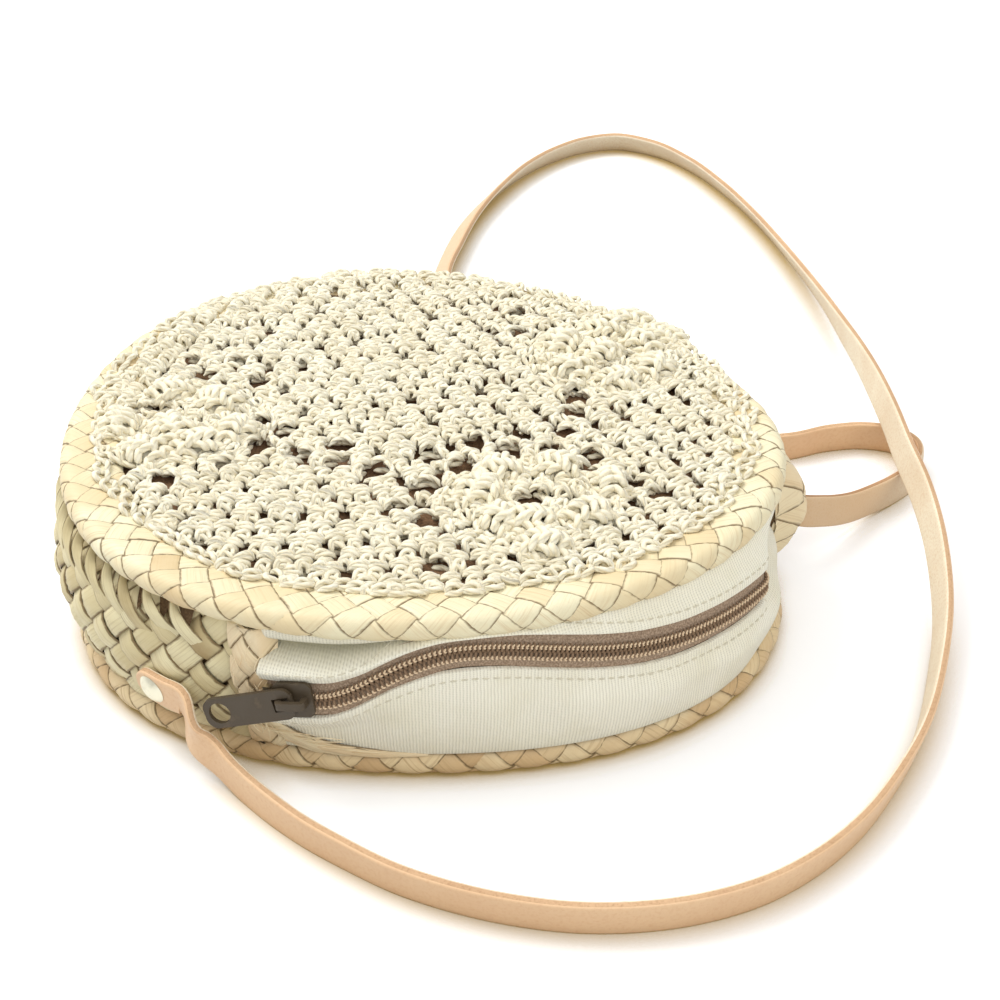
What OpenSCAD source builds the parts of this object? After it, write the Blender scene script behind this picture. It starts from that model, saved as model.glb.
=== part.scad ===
// Round crossbody bag lying on its back: plaited palm-leaf drum, crocheted cotton front,
// canvas gusset with a coil zip, and a leather strap riveted to the wall at both ends.
// Millimetres, +Z up out of the crocheted front. The origin is the middle of the back's underside.
// The strap lies on edge on the same surface as the bag, in one long loop and one small one.

/* [Bag] */
// Diameter over the front rim
bag_d = 220; // [200:1:240]
// Height from the back to the top of the front rim
bag_h = 58; // [54:1:64]
// Number of facets that a round shape is shown with
round_fn = 96; // [48:8:144]

/* [Rims] */
// Thickness of the rolled edge of the front rim
top_roll_d = 8; // [6:0.5:10]
// Thickness of the rolled edge of the back rim
bottom_roll_d = 9; // [7:0.5:10]
// How far the back rim stands inside the front rim
bottom_inset = 1; // [0:0.5:3]
// Width of the flat plaited band inside the front rim's roll
top_band_w = 14; // [10:0.5:18]
// Width of the flat plaited band inside the back rim's roll
bottom_band_w = 12.5; // [10:0.5:16]
// Thickness of both flat bands
band_t = 3; // [2:0.25:4]

/* [Wall] */
// Thickness of the plaited palm wall
wall_t = 3; // [2:0.25:3.5]
// How far the wall's upper and lower edges stand inside the front rim
wall_inset = 3; // [2.5:0.25:4]
// How far the palm wall bulges at mid height
wall_bulge = 3.5; // [1:0.25:5]
// Where the palm wall gives way to the gusset, left end (degrees from +X)
gusset_from = -114; // [-120:1:-110]
// Where the gusset gives way to the palm wall, right end (degrees from +X)
gusset_to = -1; // [-6:1:2]
// Width of the plait that binds each end of the palm wall, round the drum (degrees)
binding_span = 4.5; // [3:0.25:6]
// How far the binding plait stands out of the wall
binding_proud = 1.8; // [0.75:0.25:2]

/* [Panels] */
// Thickness of the crocheted front
crochet_t = 3.4; // [2.5:0.1:4]
// How far the middle of the crocheted front stands up
crochet_crown = 2; // [0:0.25:3]
// Thickness of the plaited back
back_t = 3; // [2:0.25:3.5]
// Thickness of the lining cloth
lining_t = 0.8; // [0.5:0.1:1]
// Thickness of the canvas gusset with its hems
canvas_t = 1; // [0.8:0.1:1.1]
// How far the canvas bulges at mid height
canvas_bulge = 3.5; // [3:0.25:4]
// Seating gap between pieces that are sewn together
seat_gap = 0.3; // [0.2:0.05:0.4]

/* [Flower motifs] */
// Distance of the outer motifs from the middle of the front
motif_ring_r = 66; // [60:0.5:66.5]
// Distance of the petals from the middle of their motif
petal_ring_r = 14.5; // [13:0.5:15]
// Diameter of one crocheted petal
petal_d = 12; // [9:0.5:12.5]
// Height of a petal above the front
petal_h = 1.6; // [1:0.1:2.5]
// Diameter of the eyelets round each motif and in its middle
eyelet_d = 4.4; // [3:0.1:5]
// Petals in one motif
petals = 6; // [5:1:7]

/* [Zip] */
// How far the zip's line stands outside the wall's edges
zip_proud = 1; // [0.5:0.25:1.25]
// Slope of the zip's plane against the back (degrees)
zip_tilt = 11.6; // [10:0.2:13]
// Direction in which the zip stands highest (degrees from +X)
zip_peak = -50; // [-56:1:-44]
// Gap between the front rim and the tape where the zip stands highest
zip_rim_gap = 1.25; // [0.75:0.25:2]
// Height of the zip's open band between the two canvas edges
zip_band_w = 12.6; // [12:0.1:13]
// Thickness of the woven tape
tape_t = 0.6; // [0.4:0.05:0.7]
// Width of each tape
tape_w = 7.2; // [6.9:0.1:7.5]
// Width of one coil row
coil_w = 2.4; // [2:0.1:2.6]
// Thickness of the coil
coil_t = 2.4; // [2:0.1:2.6]
// Gap between the two coil rows, which the slider's divider parts
coil_gap = 1; // [0.9:0.05:1.2]
// Distance from one coil turn to the next
coil_pitch = 1.9; // [1.7:0.1:3]

/* [Slider] */
// Length of the slider along the zip
slider_l = 11; // [10:0.5:12]
// Width of the slider across the zip
slider_w = 10.2; // [9.8:0.1:10.6]
// Thickness of the slider's plates
plate_t = 1.2; // [1:0.05:1.4]
// Running clearance between the slider and the tape and coil
slide_gap = 0.35; // [0.3:0.05:0.4]
// Where the closed slider stands (degrees from +X)
slider_rest = -104.5; // [-105.5:0.5:-103]
// Length of the crown bridge on the slider
crown_l = 8.4; // [7.8:0.2:9]
// Width of the crown bridge
crown_w = 2.2; // [1.8:0.1:2.4]
// Height of the crown bridge
crown_h = 3.7; // [3.5:0.1:4]
// Thickness of the crown bridge
crown_t = 1.5; // [1.2:0.1:1.6]

/* [Pull tab] */
// Length of the tab from its hinge bar to its tip
tab_l = 26; // [24:0.5:28]
// Width of the tab
tab_w = 9; // [8:0.1:9.4]
// Thickness of the tab
tab_t = 1.3; // [1:0.05:1.4]
// Diameter of the bar that turns under the crown
tab_bar_d = 1.5; // [1.3:0.05:1.6]
// Diameter of the hole near the tip
tab_hole_d = 6.2; // [4.6:0.1:6.4]
// Width of the slot that goes round the crown
tab_slot_w = 3.9; // [3.6:0.1:4.2]
// How far the resting tab hangs below the line of the zip (degrees)
tab_droop = 9; // [6:0.5:10]

/* [Strap] */
// Width of the leather strap
strap_w = 11; // [9.5:0.5:13]
// Thickness of the leather strap
strap_t = 2.5; // [2:0.1:3]
// Height of the rivets above the back
rivet_z = 21; // [18:0.5:24]
// Direction of the left rivet, counted from +X (degrees)
rivet_left_angle = -128.5; // [-130:0.5:-127.5]
// Direction of the right rivet, counted from +X (degrees)
rivet_right_angle = 12; // [11:0.5:14]
// Diameter of the rivet's cap
cap_d = 9; // [8:0.25:10]
// Height of the rivet's cap
cap_h = 1.8; // [1.2:0.1:2.2]
// Diameter of the rivet's post
post_d = 3; // [2.5:0.1:3.5]
// Diameter of the washer inside the wall
washer_d = 8; // [7:0.25:9]
// Thickness of the washer inside the wall
washer_t = 0.8; // [0.6:0.1:1]
// Radial clearance of the post in the leather and the palm wall
post_gap = 0.1; // [0.05:0.05:0.2]
// Gap left where the strap crosses over itself
crossing_gap = 0.8; // [0.6:0.1:1.5]

/* [Hidden] */

straw = "#d9c78f";
straw_green = "#cdbf88";
cotton = "#e6dac2";
canvas = "#e4dfce";
lining_brown = "#8a6a48";
tape_taupe = "#8f7258";
coil_tan = "#b49272";
slider_brown = "#4a4038";
leather = "#d8ae85";
nickel = "#b8bab0";

cut = 1;                                    // overrun of every cut
full_turn = 360;
bag_r = bag_d / 2;
motif_angles = [-53, 33, 184];              // directions of the motifs from the front's middle
motif_ring_shares = [0.88, 1, 1];           // how far out each one stands

// Front rim: a roll with a flat band inside it.
top_roll_r = bag_r - top_roll_d / 2;        // radius at the roll's middle
top_roll_z = bag_h - top_roll_d / 2;
top_band_z = bag_h - top_roll_d * 0.19 - band_t;
front_r = top_roll_r - top_band_w;          // inner edge of the band

// Back rim, the same the other way up.
bottom_roll_r = bag_r - bottom_inset - bottom_roll_d / 2;
bottom_roll_z = bottom_roll_d / 2;
back_r = bottom_roll_r - bottom_band_w;

// The wall between the rims.
wall_edge_r = bag_r - wall_inset;
wall_z0 = bottom_roll_d + seat_gap / 3;
wall_z1 = bag_h - top_roll_d - seat_gap / 3;
wall_mid_z = (wall_z0 + wall_z1) / 2;
wall_half_h = (wall_z1 - wall_z0) / 2;
wall_steps = 8;
canvas_edge_r = wall_edge_r - seat_gap;

// How far a wall that bulges by 1 stands out at height z.
function swell(z) = 1 - pow((z - wall_mid_z) / wall_half_h, 2);
function wall_r(z) = wall_edge_r + wall_bulge * swell(z);

// Linings lie just inside the rims' rolls.
lining_r = top_roll_r - top_roll_d / 2 - seat_gap;
lining_top_z = top_band_z - seat_gap;
back_lining_z = max(back_t, band_t) + seat_gap;
back_lining_r = bottom_roll_r - bottom_roll_d / 2 - seat_gap / 2;

// The zip's own frame: turned to its highest side, tilted, then turned along the zip.
function zip_turn(az) = atan2(sin(az - zip_peak) * cos(zip_tilt), cos(az - zip_peak));
zip_r = wall_edge_r + zip_proud;            // radius of the zip's line in its own plane
zip_z = wall_z1 - zip_rim_gap - (coil_gap / 2 + tape_w) * cos(zip_tilt) - zip_r * sin(zip_tilt);
zip_end_gap = seat_gap * 2;
zip_from = zip_turn(gusset_from + binding_span) + zip_end_gap / zip_r * 180 / PI;
zip_to = zip_turn(gusset_to - binding_span) - zip_end_gap / zip_r * 180 / PI;
slider_turn = zip_turn(slider_rest);
coil_in = zip_r + tape_t / 2 + seat_gap / 10;
coil_out = coil_in + coil_t;
coil_near = coil_gap / 2;
coil_far = coil_near + coil_w;
stop_l = 1.8;
stop_span = stop_l / zip_r * 180 / PI;
coil_from = zip_from + stop_span + seat_gap / zip_r * 180 / PI;

// The slider, seen from its own middle: x away from the drum, y along the zip, z across it.
slider_in = zip_r - tape_t / 2 - slide_gap - plate_t;
slider_bed = coil_out + slide_gap;          // underside of the outer plate
slider_top = slider_bed + plate_t;
slot_top = zip_r + tape_t / 2 + slide_gap;
flange_z = coil_far + slide_gap;
divider_w = coil_gap * 0.7;
divider_l = slider_l * 0.36;
slider_corner_r = slider_w * 0.2;

// The crown's tunnel holds the tab's bar.
tunnel_h = crown_h - crown_t;
tunnel_l = crown_l - 2 * crown_t;
tab_axis = slider_top + tunnel_h / 2;
tab_slot_l = norm([crown_l / 2, crown_h - tunnel_h / 2]) + slide_gap;
tab_hole_y = tab_l - tab_w / 2;

// The strap's route in steps that follow the bag: x and y as shares of its radius, the rise as
// a share of the height that one strap needs to pass over another, and the lean of the upper
// edge away from the bag (degrees).
strap_route_shares = [
    [-0.512, -0.909, 0.62, 0], [-0.457, -0.943, 0.24, 1], [-0.395, -1.003, 0.03, 1],
    [-0.313, -1.088, 0, 2], [-0.225, -1.168, 0, 5], [-0.12, -1.245, 0, 7], [0, -1.322, 0, 9],
    [0.13, -1.38, 0, 10], [0.27, -1.422, 0, 10], [0.42, -1.445, 0, 10], [0.565, -1.442, 0, 10],
    [0.712, -1.414, 0, 10], [0.85, -1.36, 0, 10], [0.976, -1.277, 0, 10], [1.107, -1.15, 0, 10],
    [1.217, -0.998, 0, 11], [1.326, -0.805, 0, 13], [1.417, -0.562, 0.08, 16],
    [1.484, -0.31, 0.31, 17], [1.512, -0.06, 0.75, 17], [1.518, 0.18, 0.97, 17],
    [1.511, 0.41, 1, 16], [1.51, 0.63, 1.02, 14], [1.506, 0.85, 0.96, 10],
    [1.504, 1.1, 0.72, 2], [1.493, 1.38, 0.42, -8], [1.463, 1.75, 0.18, -22],
    [1.405, 2.15, 0.03, -30], [1.328, 2.51, 0, -33], [1.228, 2.84, 0, -33],
    [1.108, 3.12, 0, -32], [0.96, 3.325, 0, -31], [0.79, 3.415, 0, -30], [0.63, 3.37, 0, -30],
    [0.487, 3.25, 0, -31], [0.352, 3.07, 0, -34], [0.235, 2.84, 0, -40], [0.13, 2.56, 0, -47],
    [0.055, 2.23, 0, -49], [0.015, 1.89, 0, -38], [0.06, 1.58, 0, -20], [0.21, 1.345, 0, -6],
    [0.44, 1.18, 0, 0], [0.66, 1.03, 0, 2], [0.85, 0.84, 0, 4], [0.965, 0.7, 0, 6],
    [1.07, 0.625, 0, 6], [1.19, 0.632, 0, 6], [1.33, 0.685, 0, 6], [1.45, 0.7, 0, 5],
    [1.545, 0.672, 0, 4], [1.597, 0.6, 0, 3], [1.592, 0.512, 0, 2], [1.545, 0.435, 0, 2],
    [1.475, 0.362, 0.02, 2], [1.39, 0.28, 0.15, 1], [1.3, 0.188, 0.42, 0],
    [1.21, 0.105, 0.82, 0], [1.13, 0.058, 1.12, 3], [1.058, 0.07, 1.19, 6]];
strap_steps = 2;                            // rings drawn for each point of the route
strap_wall_gap = seat_gap * 0.8;
strap_edge_r = strap_t * 0.3;               // rounding of the strap's cut edges
strap_tip_angle = 3.2;                        // how far the strap's end goes past its rivet
strap_hug_angle = 5.5;                        // how far it still follows the wall before the rivet
tip_flat_share = 0.1;                       // blunt part of the strap's round end

// The rivets stand square to the wall, which leans outward below its middle.
wall_lean = atan(-2 * wall_bulge * (rivet_z - wall_mid_z) / pow(wall_half_h, 2));
rivet_angles = [rivet_left_angle, rivet_right_angle];
strap_out = strap_wall_gap + strap_t / 2;   // from the wall to the strap's middle

// A sector of a solid turned about the drum's axis, from one direction to another.
module sector(from, to) {
    rotate([0, 0, from]) rotate_extrude(angle = to - from, $fn = round_fn) children();
}

// A full ring or disc turned about the drum's axis.
module turned() {
    rotate_extrude($fn = round_fn) children();
}

// Section of a bulging wall: from height z0 to z1, t thick, its edges at radius r.
module wall_section(z0, z1, r, bulge, t) {
    outer = [for (i = [0 : wall_steps]) let (z = z0 + (z1 - z0) * i / wall_steps)
        [r + bulge * swell(z), z]];
    inner = [for (i = [wall_steps : -1 : 0]) let (z = z0 + (z1 - z0) * i / wall_steps)
        [r + bulge * swell(z) - t, z]];
    polygon(concat(outer, inner));
}

// Places its children in the zip's tilted plane, turned along the zip by a number of degrees.
module on_zip(turn = 0) {
    translate([0, 0, zip_z]) rotate([0, 0, zip_peak]) rotate([0, -zip_tilt, 0])
        rotate([0, 0, turn]) children();
}

// A flat plate with round corners: l long in x, w wide in y, both centred, t thick.
module round_plate(l, w, r, t) {
    linear_extrude(t) {
        square([l, w - 2 * r], center = true);
        square([l - 2 * r, w], center = true);
        for (x = [-1, 1], y = [-1, 1])
            translate([x * (l / 2 - r), y * (w / 2 - r)]) circle(r, $fn = 24);
    }
}

// Crocheted front: a low dome with petals standing on it and eyelets round them.
module crochet_front() {
    r = front_r - seat_gap;
    z0 = top_band_z;
    dome_steps = 6;
    function dome(x) = z0 + crochet_t + crochet_crown * (1 - pow(x / r, 2));
    color(cotton) difference() {
        union() {
            turned() polygon(concat([[0, z0], [r, z0]],
                [for (i = [dome_steps : -1 : 0]) let (x = r * i / dome_steps) [x, dome(x)]]));
            for (m = [0 : len(motif_angles) - 1]) motif_places(m, petals, petal_ring_r, 0)
                translate([0, 0, dome(motif_r(m)) - crochet_t / 2])
                    petal(crochet_t / 2 + petal_h);
        }
        for (m = [0 : len(motif_angles) - 1]) {
            rotate([0, 0, motif_angles[m]]) translate([motif_r(m), 0, z0 - cut])
                cylinder(d = eyelet_d, h = crochet_t + crochet_crown + petal_h + 2 * cut, $fn = 8);
            motif_places(m, petals, petal_ring_r + petal_d * 0.6, 0.5)
                translate([0, 0, z0 - cut])
                    cylinder(d = eyelet_d * 0.8, h = crochet_t + crochet_crown + petal_h + 2 * cut,
                        $fn = 8);
        }
    }
}

// Distance of motif m from the middle of the front.
function motif_r(m) = motif_ring_r * motif_ring_shares[m];

// Copies round motif m; shift is the share of a step that the ring is turned by.
module motif_places(m, count, ring_r, shift) {
    rotate([0, 0, motif_angles[m]]) translate([motif_r(m), 0, 0])
        for (i = [0 : count - 1]) rotate([0, 0, (i + shift) * full_turn / count])
            translate([ring_r, 0, 0]) children();
}

// One puffy petal, h high, with a rounded top.
module petal(h) {
    edge = petal_h * 0.7;
    rotate_extrude($fn = 32) {
        square([petal_d / 2, h - edge]);
        square([petal_d / 2 - edge, h]);
        translate([petal_d / 2 - edge, h - edge]) circle(edge, $fn = 24);
    }
}

module front_lining() {
    color(lining_brown) translate([0, 0, lining_top_z - lining_t])
        cylinder(r = lining_r, h = lining_t, $fn = round_fn);
}

// Front rim: flat plaited band with a round inner edge, and the rolled outer edge.
module top_rim_braid() {
    color(straw) turned() {
        translate([top_roll_r, top_roll_z]) circle(d = top_roll_d, $fn = 48);
        translate([front_r + band_t / 2, top_band_z]) square([top_band_w - band_t / 2, band_t]);
        translate([front_r + band_t / 2, top_band_z + band_t / 2]) circle(d = band_t, $fn = 24);
    }
}

module bottom_rim_braid() {
    color(straw) turned() {
        translate([bottom_roll_r, bottom_roll_z]) circle(d = bottom_roll_d, $fn = 48);
        translate([back_r, 0]) square([bottom_band_w, band_t]);
    }
}

module palm_wall() {
    color(straw_green) difference() {
        sector(gusset_to, full_turn + gusset_from)
            wall_section(wall_z0, wall_z1, wall_edge_r, wall_bulge, wall_t);
        rivet_holes();
    }
}

module wall_lining() {
    z0 = bottom_roll_z + bottom_roll_d / 2;
    color(lining_brown) sector(gusset_to, full_turn + gusset_from)
        translate([lining_r - lining_t, z0])
            square([lining_t, lining_top_z - lining_t - seat_gap - z0]);
}

// The plait that closes one end of the palm wall and covers the gusset's seam.
module end_binding(from) {
    color(straw) sector(from, from + binding_span)
        wall_section(wall_z0, wall_z1, wall_edge_r + binding_proud, wall_bulge,
            wall_t + binding_proud);
}

module end_binding_left() { end_binding(gusset_from); }
module end_binding_right() { end_binding(gusset_to - binding_span); }

// The canvas between the two bindings, before the zip divides it.
module canvas_band() {
    sector(gusset_from + binding_span, gusset_to - binding_span)
        wall_section(wall_z0, wall_z1, canvas_edge_r, canvas_bulge, canvas_t);
}

module gusset_upper() {
    color(canvas) difference() {
        canvas_band();
        on_zip() translate([0, 0, zip_band_w / 2 - bag_d]) cylinder(r = bag_d, h = bag_d);
    }
}

module gusset_lower() {
    color(canvas) difference() {
        canvas_band();
        on_zip() translate([0, 0, -zip_band_w / 2]) cylinder(r = bag_d, h = bag_d);
    }
}

// A ring sector in the zip's plane, on one side of its middle: side is 1 above and -1 below.
module zip_strip(from, to, r0, r1, near, far, side) {
    on_zip(from) rotate_extrude(angle = to - from, $fn = round_fn)
        translate([r0, side > 0 ? near : -far]) square([r1 - r0, far - near]);
}

// The tape runs on into the bindings' planes and is cut off there.
module zip_tape(side) {
    color(tape_taupe) intersection() {
        zip_strip(zip_from - binding_span, zip_to + binding_span, zip_r - tape_t / 2,
            zip_r + tape_t / 2, coil_near, coil_near + tape_w, side);
        sector(gusset_from + binding_span, gusset_to - binding_span) square([bag_d, bag_h]);
    }
}

// One row of the coil, cut from a plate in the zip's plane: a turn at each pitch.
module zip_coil(side) {
    turns = floor((zip_to - coil_from) * PI / 180 * zip_r / coil_pitch);
    step = (zip_to - coil_from) / turns;
    core_r = coil_in + coil_t * 0.72;
    function arc(r, i) = [r * cos(coil_from + i * step), r * sin(coil_from + i * step)];
    crest = [for (i = [0 : turns - 1]) each [arc(core_r, i), arc(core_r, i + 0.2),
        arc(coil_out, i + 0.3), arc(coil_out, i + 0.7), arc(core_r, i + 0.8)]];
    back = [for (i = [turns : -1 : 0]) arc(coil_in, i)];
    color(coil_tan) on_zip() translate([0, 0, side > 0 ? coil_near : -coil_far])
        linear_extrude(coil_w) polygon(concat(crest, [arc(core_r, turns)], back));
}

module zip_tape_upper() { zip_tape(1); }
module zip_tape_lower() { zip_tape(-1); }
module zip_coil_upper() { zip_coil(1); }
module zip_coil_lower() { zip_coil(-1); }

// Two metal clips that end the coil rows beside the closed slider.
module zip_top_stops() {
    color(nickel) for (side = [-1, 1])
        zip_strip(zip_from, zip_from + stop_span, coil_in, coil_out, coil_near, coil_far, side);
}

// One clip across both rows at the other end.
module zip_bottom_stop() {
    color(nickel) on_zip(zip_to) translate([coil_out, -stop_l, -coil_far])
        cube([plate_t * 0.5, stop_l, 2 * coil_far]);
}

// Slider: outer plate with flanges, inner plate, and the divider that joins them.
module zip_slider() {
    color(slider_brown) on_zip(slider_turn) {
        translate([slider_in, 0, 0]) rotate([0, 90, 0])
            round_plate(slider_w, slider_l, slider_corner_r, plate_t);
        translate([slider_bed, 0, 0]) rotate([0, 90, 0])
            round_plate(slider_w, slider_l, slider_corner_r, plate_t);
        for (side = [-1, 1])
            translate([slot_top, -slider_l / 2 + slider_corner_r,
                    side > 0 ? flange_z : -slider_w / 2])
                cube([slider_bed - slot_top + plate_t / 2, slider_l - 2 * slider_corner_r,
                    slider_w / 2 - flange_z]);
        translate([slider_in + plate_t / 2, -slider_l / 2 + slider_corner_r, -divider_w / 2])
            cube([slider_bed - slider_in, divider_l, divider_w]);
    }
}

// Crown: the bridge that the pull tab's bar turns under.
module slider_crown() {
    outer_r = crown_t * 0.9;
    color(slider_brown) on_zip(slider_turn) translate([slider_top, 0, -crown_w / 2])
        linear_extrude(crown_w) difference() {
            union() {
                translate([0, -crown_l / 2]) square([crown_h - outer_r, crown_l]);
                translate([0, -crown_l / 2 + outer_r]) square([crown_h, crown_l - 2 * outer_r]);
                for (y = [-1, 1]) translate([crown_h - outer_r, y * (crown_l / 2 - outer_r)])
                    circle(outer_r, $fn = 32);
            }
            translate([-cut, -tunnel_l / 2]) square([tunnel_h + cut, tunnel_l]);
        }
}

// Places its children on the pull tab's hinge, y along the tab and away from its tip.
module on_tab() {
    on_zip(slider_turn) translate([tab_axis, 0, 0]) rotate([tab_droop, 0, 0]) children();
}

// Pull tab: a flat bar with a slot round the crown at one end and a hole at the other.
module pull_tab() {
    tab_from = tab_bar_d / 2;
    color(slider_brown) on_tab() {
        difference() {
            translate([-tab_t / 2, (tab_from - tab_l) / 2, 0]) rotate([0, 90, 0])
                round_plate(tab_w, tab_l + tab_from, tab_w * 0.36, tab_t);
            translate([-tab_t, -tab_slot_l, -tab_slot_w / 2])
                cube([2 * tab_t, tab_slot_l + tab_from + cut, tab_slot_w]);
            translate([-tab_t, -tab_hole_y, 0]) rotate([0, 90, 0])
                cylinder(d = tab_hole_d, h = 2 * tab_t, $fn = 48);
        }
        cylinder(d = tab_bar_d, h = tab_slot_w + tab_bar_d, center = true, $fn = 32);
    }
}

module back_panel() {
    color(straw) cylinder(r = back_r - seat_gap, h = back_t, $fn = round_fn);
}

module back_lining() {
    color(lining_brown) translate([0, 0, back_lining_z])
        cylinder(r = back_lining_r, h = lining_t, $fn = round_fn);
}

// A point of the strap's middle line against the wall, in direction az.
function on_wall(az) = let (r = wall_r(rivet_z) + strap_out * cos(wall_lean))
    [r * cos(az), r * sin(az), rivet_z - strap_out * sin(wall_lean), wall_lean];
left_end = [for (k = [strap_tip_angle, 0, -strap_hug_angle / 2, -strap_hug_angle])
    on_wall(rivet_left_angle - k)];
right_end = [for (k = [-strap_hug_angle, -strap_hug_angle / 2, 0, strap_tip_angle])
    on_wall(rivet_right_angle + k)];
route = concat(left_end,
    [for (p = strap_route_shares) [p[0] * bag_r, p[1] * bag_r,
        p[2] * (strap_w + crossing_gap) + strap_w / 2 * cos(p[3]) + strap_t / 2 * abs(sin(p[3])),
        p[3]]],
    right_end);

// A smooth curve through the route's points, with slopes that allow for uneven spacing.
function at(i) = route[min(max(i, 0), len(route) - 1)];
function span(i) = norm(xyz(at(i + 1)) - xyz(at(i)));
function slope(i) = let (d0 = span(i - 1), d1 = span(i))
    d0 == 0 ? (at(i + 1) - at(i)) / d1
    : d1 == 0 ? (at(i) - at(i - 1)) / d0
    : ((at(i) - at(i - 1)) * d1 / d0 + (at(i + 1) - at(i)) * d0 / d1) / (d0 + d1);
function curve(i, t) = at(i) * (2 * t * t * t - 3 * t * t + 1)
    + slope(i) * span(i) * (t * t * t - 2 * t * t + t)
    + at(i + 1) * (3 * t * t - 2 * t * t * t)
    + slope(i + 1) * span(i) * (t * t * t - t * t);
strap_line = concat([for (i = [0 : len(route) - 2], s = [0 : strap_steps - 1])
    curve(i, s / strap_steps)], [route[len(route) - 1]]);
function xyz(p) = [p[0], p[1], p[2]];
function unit(v) = v / norm(v);
function heading(i) = unit(xyz(strap_line[min(i + 1, len(strap_line) - 1)])
    - xyz(strap_line[max(i - 1, 0)]));

// The strap's section: half width and half thickness, with its edges rounded off.
strap_section = let (w = strap_w / 2, t = strap_t / 2, e = strap_edge_r) [
    [w, t - e], [w - e, t], [e - w, t], [-w, t - e],
    [-w, e - t], [e - w, -t], [w - e, -t], [w, e - t]];

// Share of the width at ring i: the strap's ends are round.
function tip_share(i) = let (
    a = norm(xyz(strap_line[i]) - xyz(strap_line[0])),
    b = norm(xyz(strap_line[i]) - xyz(strap_line[len(strap_line) - 1])),
    d = min(min(a, b) * 2 / strap_w + tip_flat_share, 1))
    sqrt(1 - pow(1 - d, 2));

// Ring i of the strap: its width stands upright, leaned about its heading.
function strap_ring(i) = let (
    p = strap_line[i],
    share = tip_share(i),
    along = heading(i),
    side = unit(cross(along, [0, 0, 1])),
    up = cross(side, along),
    w = up * cos(p[3]) + side * sin(p[3]),
    t = side * cos(p[3]) - up * sin(p[3]))
    [for (q = strap_section) xyz(p) + w * q[0] * share + t * q[1]];

module strap() {
    rings = len(strap_line);
    sides = len(strap_section);
    points = [for (i = [0 : rings - 1]) each strap_ring(i)];
    skin = [for (i = [0 : rings - 2], k = [0 : sides - 1])
        let (a = i * sides + k, b = i * sides + (k + 1) % sides)
            each [[a, b, a + sides], [b, b + sides, a + sides]]];
    caps = [[for (k = [sides - 1 : -1 : 0]) k],
        [for (k = [0 : sides - 1]) (rings - 1) * sides + k]];
    color(leather) difference() {
        polyhedron(points, concat(skin, caps));
        rivet_holes();
    }
}

// Places its children on each rivet's line, x away from the drum and 0 at the wall's surface.
module on_rivets() {
    for (a = rivet_angles) rotate([0, 0, a]) translate([wall_r(rivet_z), 0, rivet_z])
        rotate([0, wall_lean, 0]) children();
}

cap_in = strap_wall_gap + strap_t + seat_gap / 6;
washer_out = -wall_t - seat_gap / 2;

module rivet_holes() {
    on_rivets() translate([washer_out - washer_d / 2, 0, 0]) rotate([0, 90, 0])
        cylinder(r = post_d / 2 + post_gap, h = cap_in - washer_out + washer_d, $fn = 32);
}

// Domed caps on the strap's outer face.
module rivet_caps() {
    dome_r = (pow(cap_d / 2, 2) + pow(cap_h, 2)) / (2 * cap_h);
    color(nickel) on_rivets() translate([cap_in, 0, 0]) rotate([0, 90, 0]) intersection() {
        translate([0, 0, cap_h - dome_r]) sphere(dome_r, $fn = 64);
        cylinder(d = cap_d, h = cap_h + cut, $fn = 48);
    }
}

module rivet_posts() {
    color(nickel) on_rivets() translate([washer_out, 0, 0]) rotate([0, 90, 0])
        cylinder(d = post_d, h = cap_in - washer_out, $fn = 32);
}

module rivet_washers() {
    color(nickel) on_rivets() translate([washer_out - washer_t, 0, 0]) rotate([0, 90, 0])
        cylinder(d = washer_d, h = washer_t, $fn = 48);
}

crochet_front();
front_lining();
top_rim_braid();
palm_wall();
wall_lining();
end_binding_left();
end_binding_right();
gusset_upper();
gusset_lower();
zip_tape_upper();
zip_tape_lower();
zip_coil_upper();
zip_coil_lower();
zip_top_stops();
zip_bottom_stop();
zip_slider();
slider_crown();
pull_tab();
bottom_rim_braid();
back_panel();
back_lining();
strap();
rivet_caps();
rivet_posts();
rivet_washers();
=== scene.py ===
# Round straw crossbody bag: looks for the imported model. Sizes are in millimetres and degrees,
# and every point is turned into metres where a mesh is made. Lamps, the floor and the scales of
# place_noise are in metres.
import math

import bpy
import numpy as np
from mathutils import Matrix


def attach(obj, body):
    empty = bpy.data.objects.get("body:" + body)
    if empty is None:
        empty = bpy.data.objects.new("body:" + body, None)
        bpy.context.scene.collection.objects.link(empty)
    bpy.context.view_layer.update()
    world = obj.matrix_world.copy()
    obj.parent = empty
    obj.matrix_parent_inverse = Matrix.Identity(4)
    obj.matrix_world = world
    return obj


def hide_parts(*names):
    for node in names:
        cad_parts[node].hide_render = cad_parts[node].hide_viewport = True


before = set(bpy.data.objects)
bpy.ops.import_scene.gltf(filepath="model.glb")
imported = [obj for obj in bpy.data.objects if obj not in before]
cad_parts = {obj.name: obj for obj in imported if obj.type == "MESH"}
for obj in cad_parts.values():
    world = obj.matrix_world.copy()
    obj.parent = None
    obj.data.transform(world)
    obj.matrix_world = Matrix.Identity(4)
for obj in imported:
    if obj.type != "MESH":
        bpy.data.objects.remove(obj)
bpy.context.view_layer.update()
MM = 0.001

# Camera, fitted to the two rims in the photograph
CAMERA_AIM = (26.7, -0.3, 27.0)
CAMERA_RANGE = 543.0
CAMERA_ELEVATION = 32.5
LENS = 61.2
SENSOR = 36.0

# Lamps: name, power, place and size in metres
LAMPS = [("key", 26.0, (-0.9, 0.5, 1.5), 1.0), ("fill", 11.0, (0.6, -1.1, 1.3), 1.4)]
SKY_STRENGTH = 0.62
FLOOR_REACH = 6.0
FLOOR_GLOW = 0.46

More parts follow.
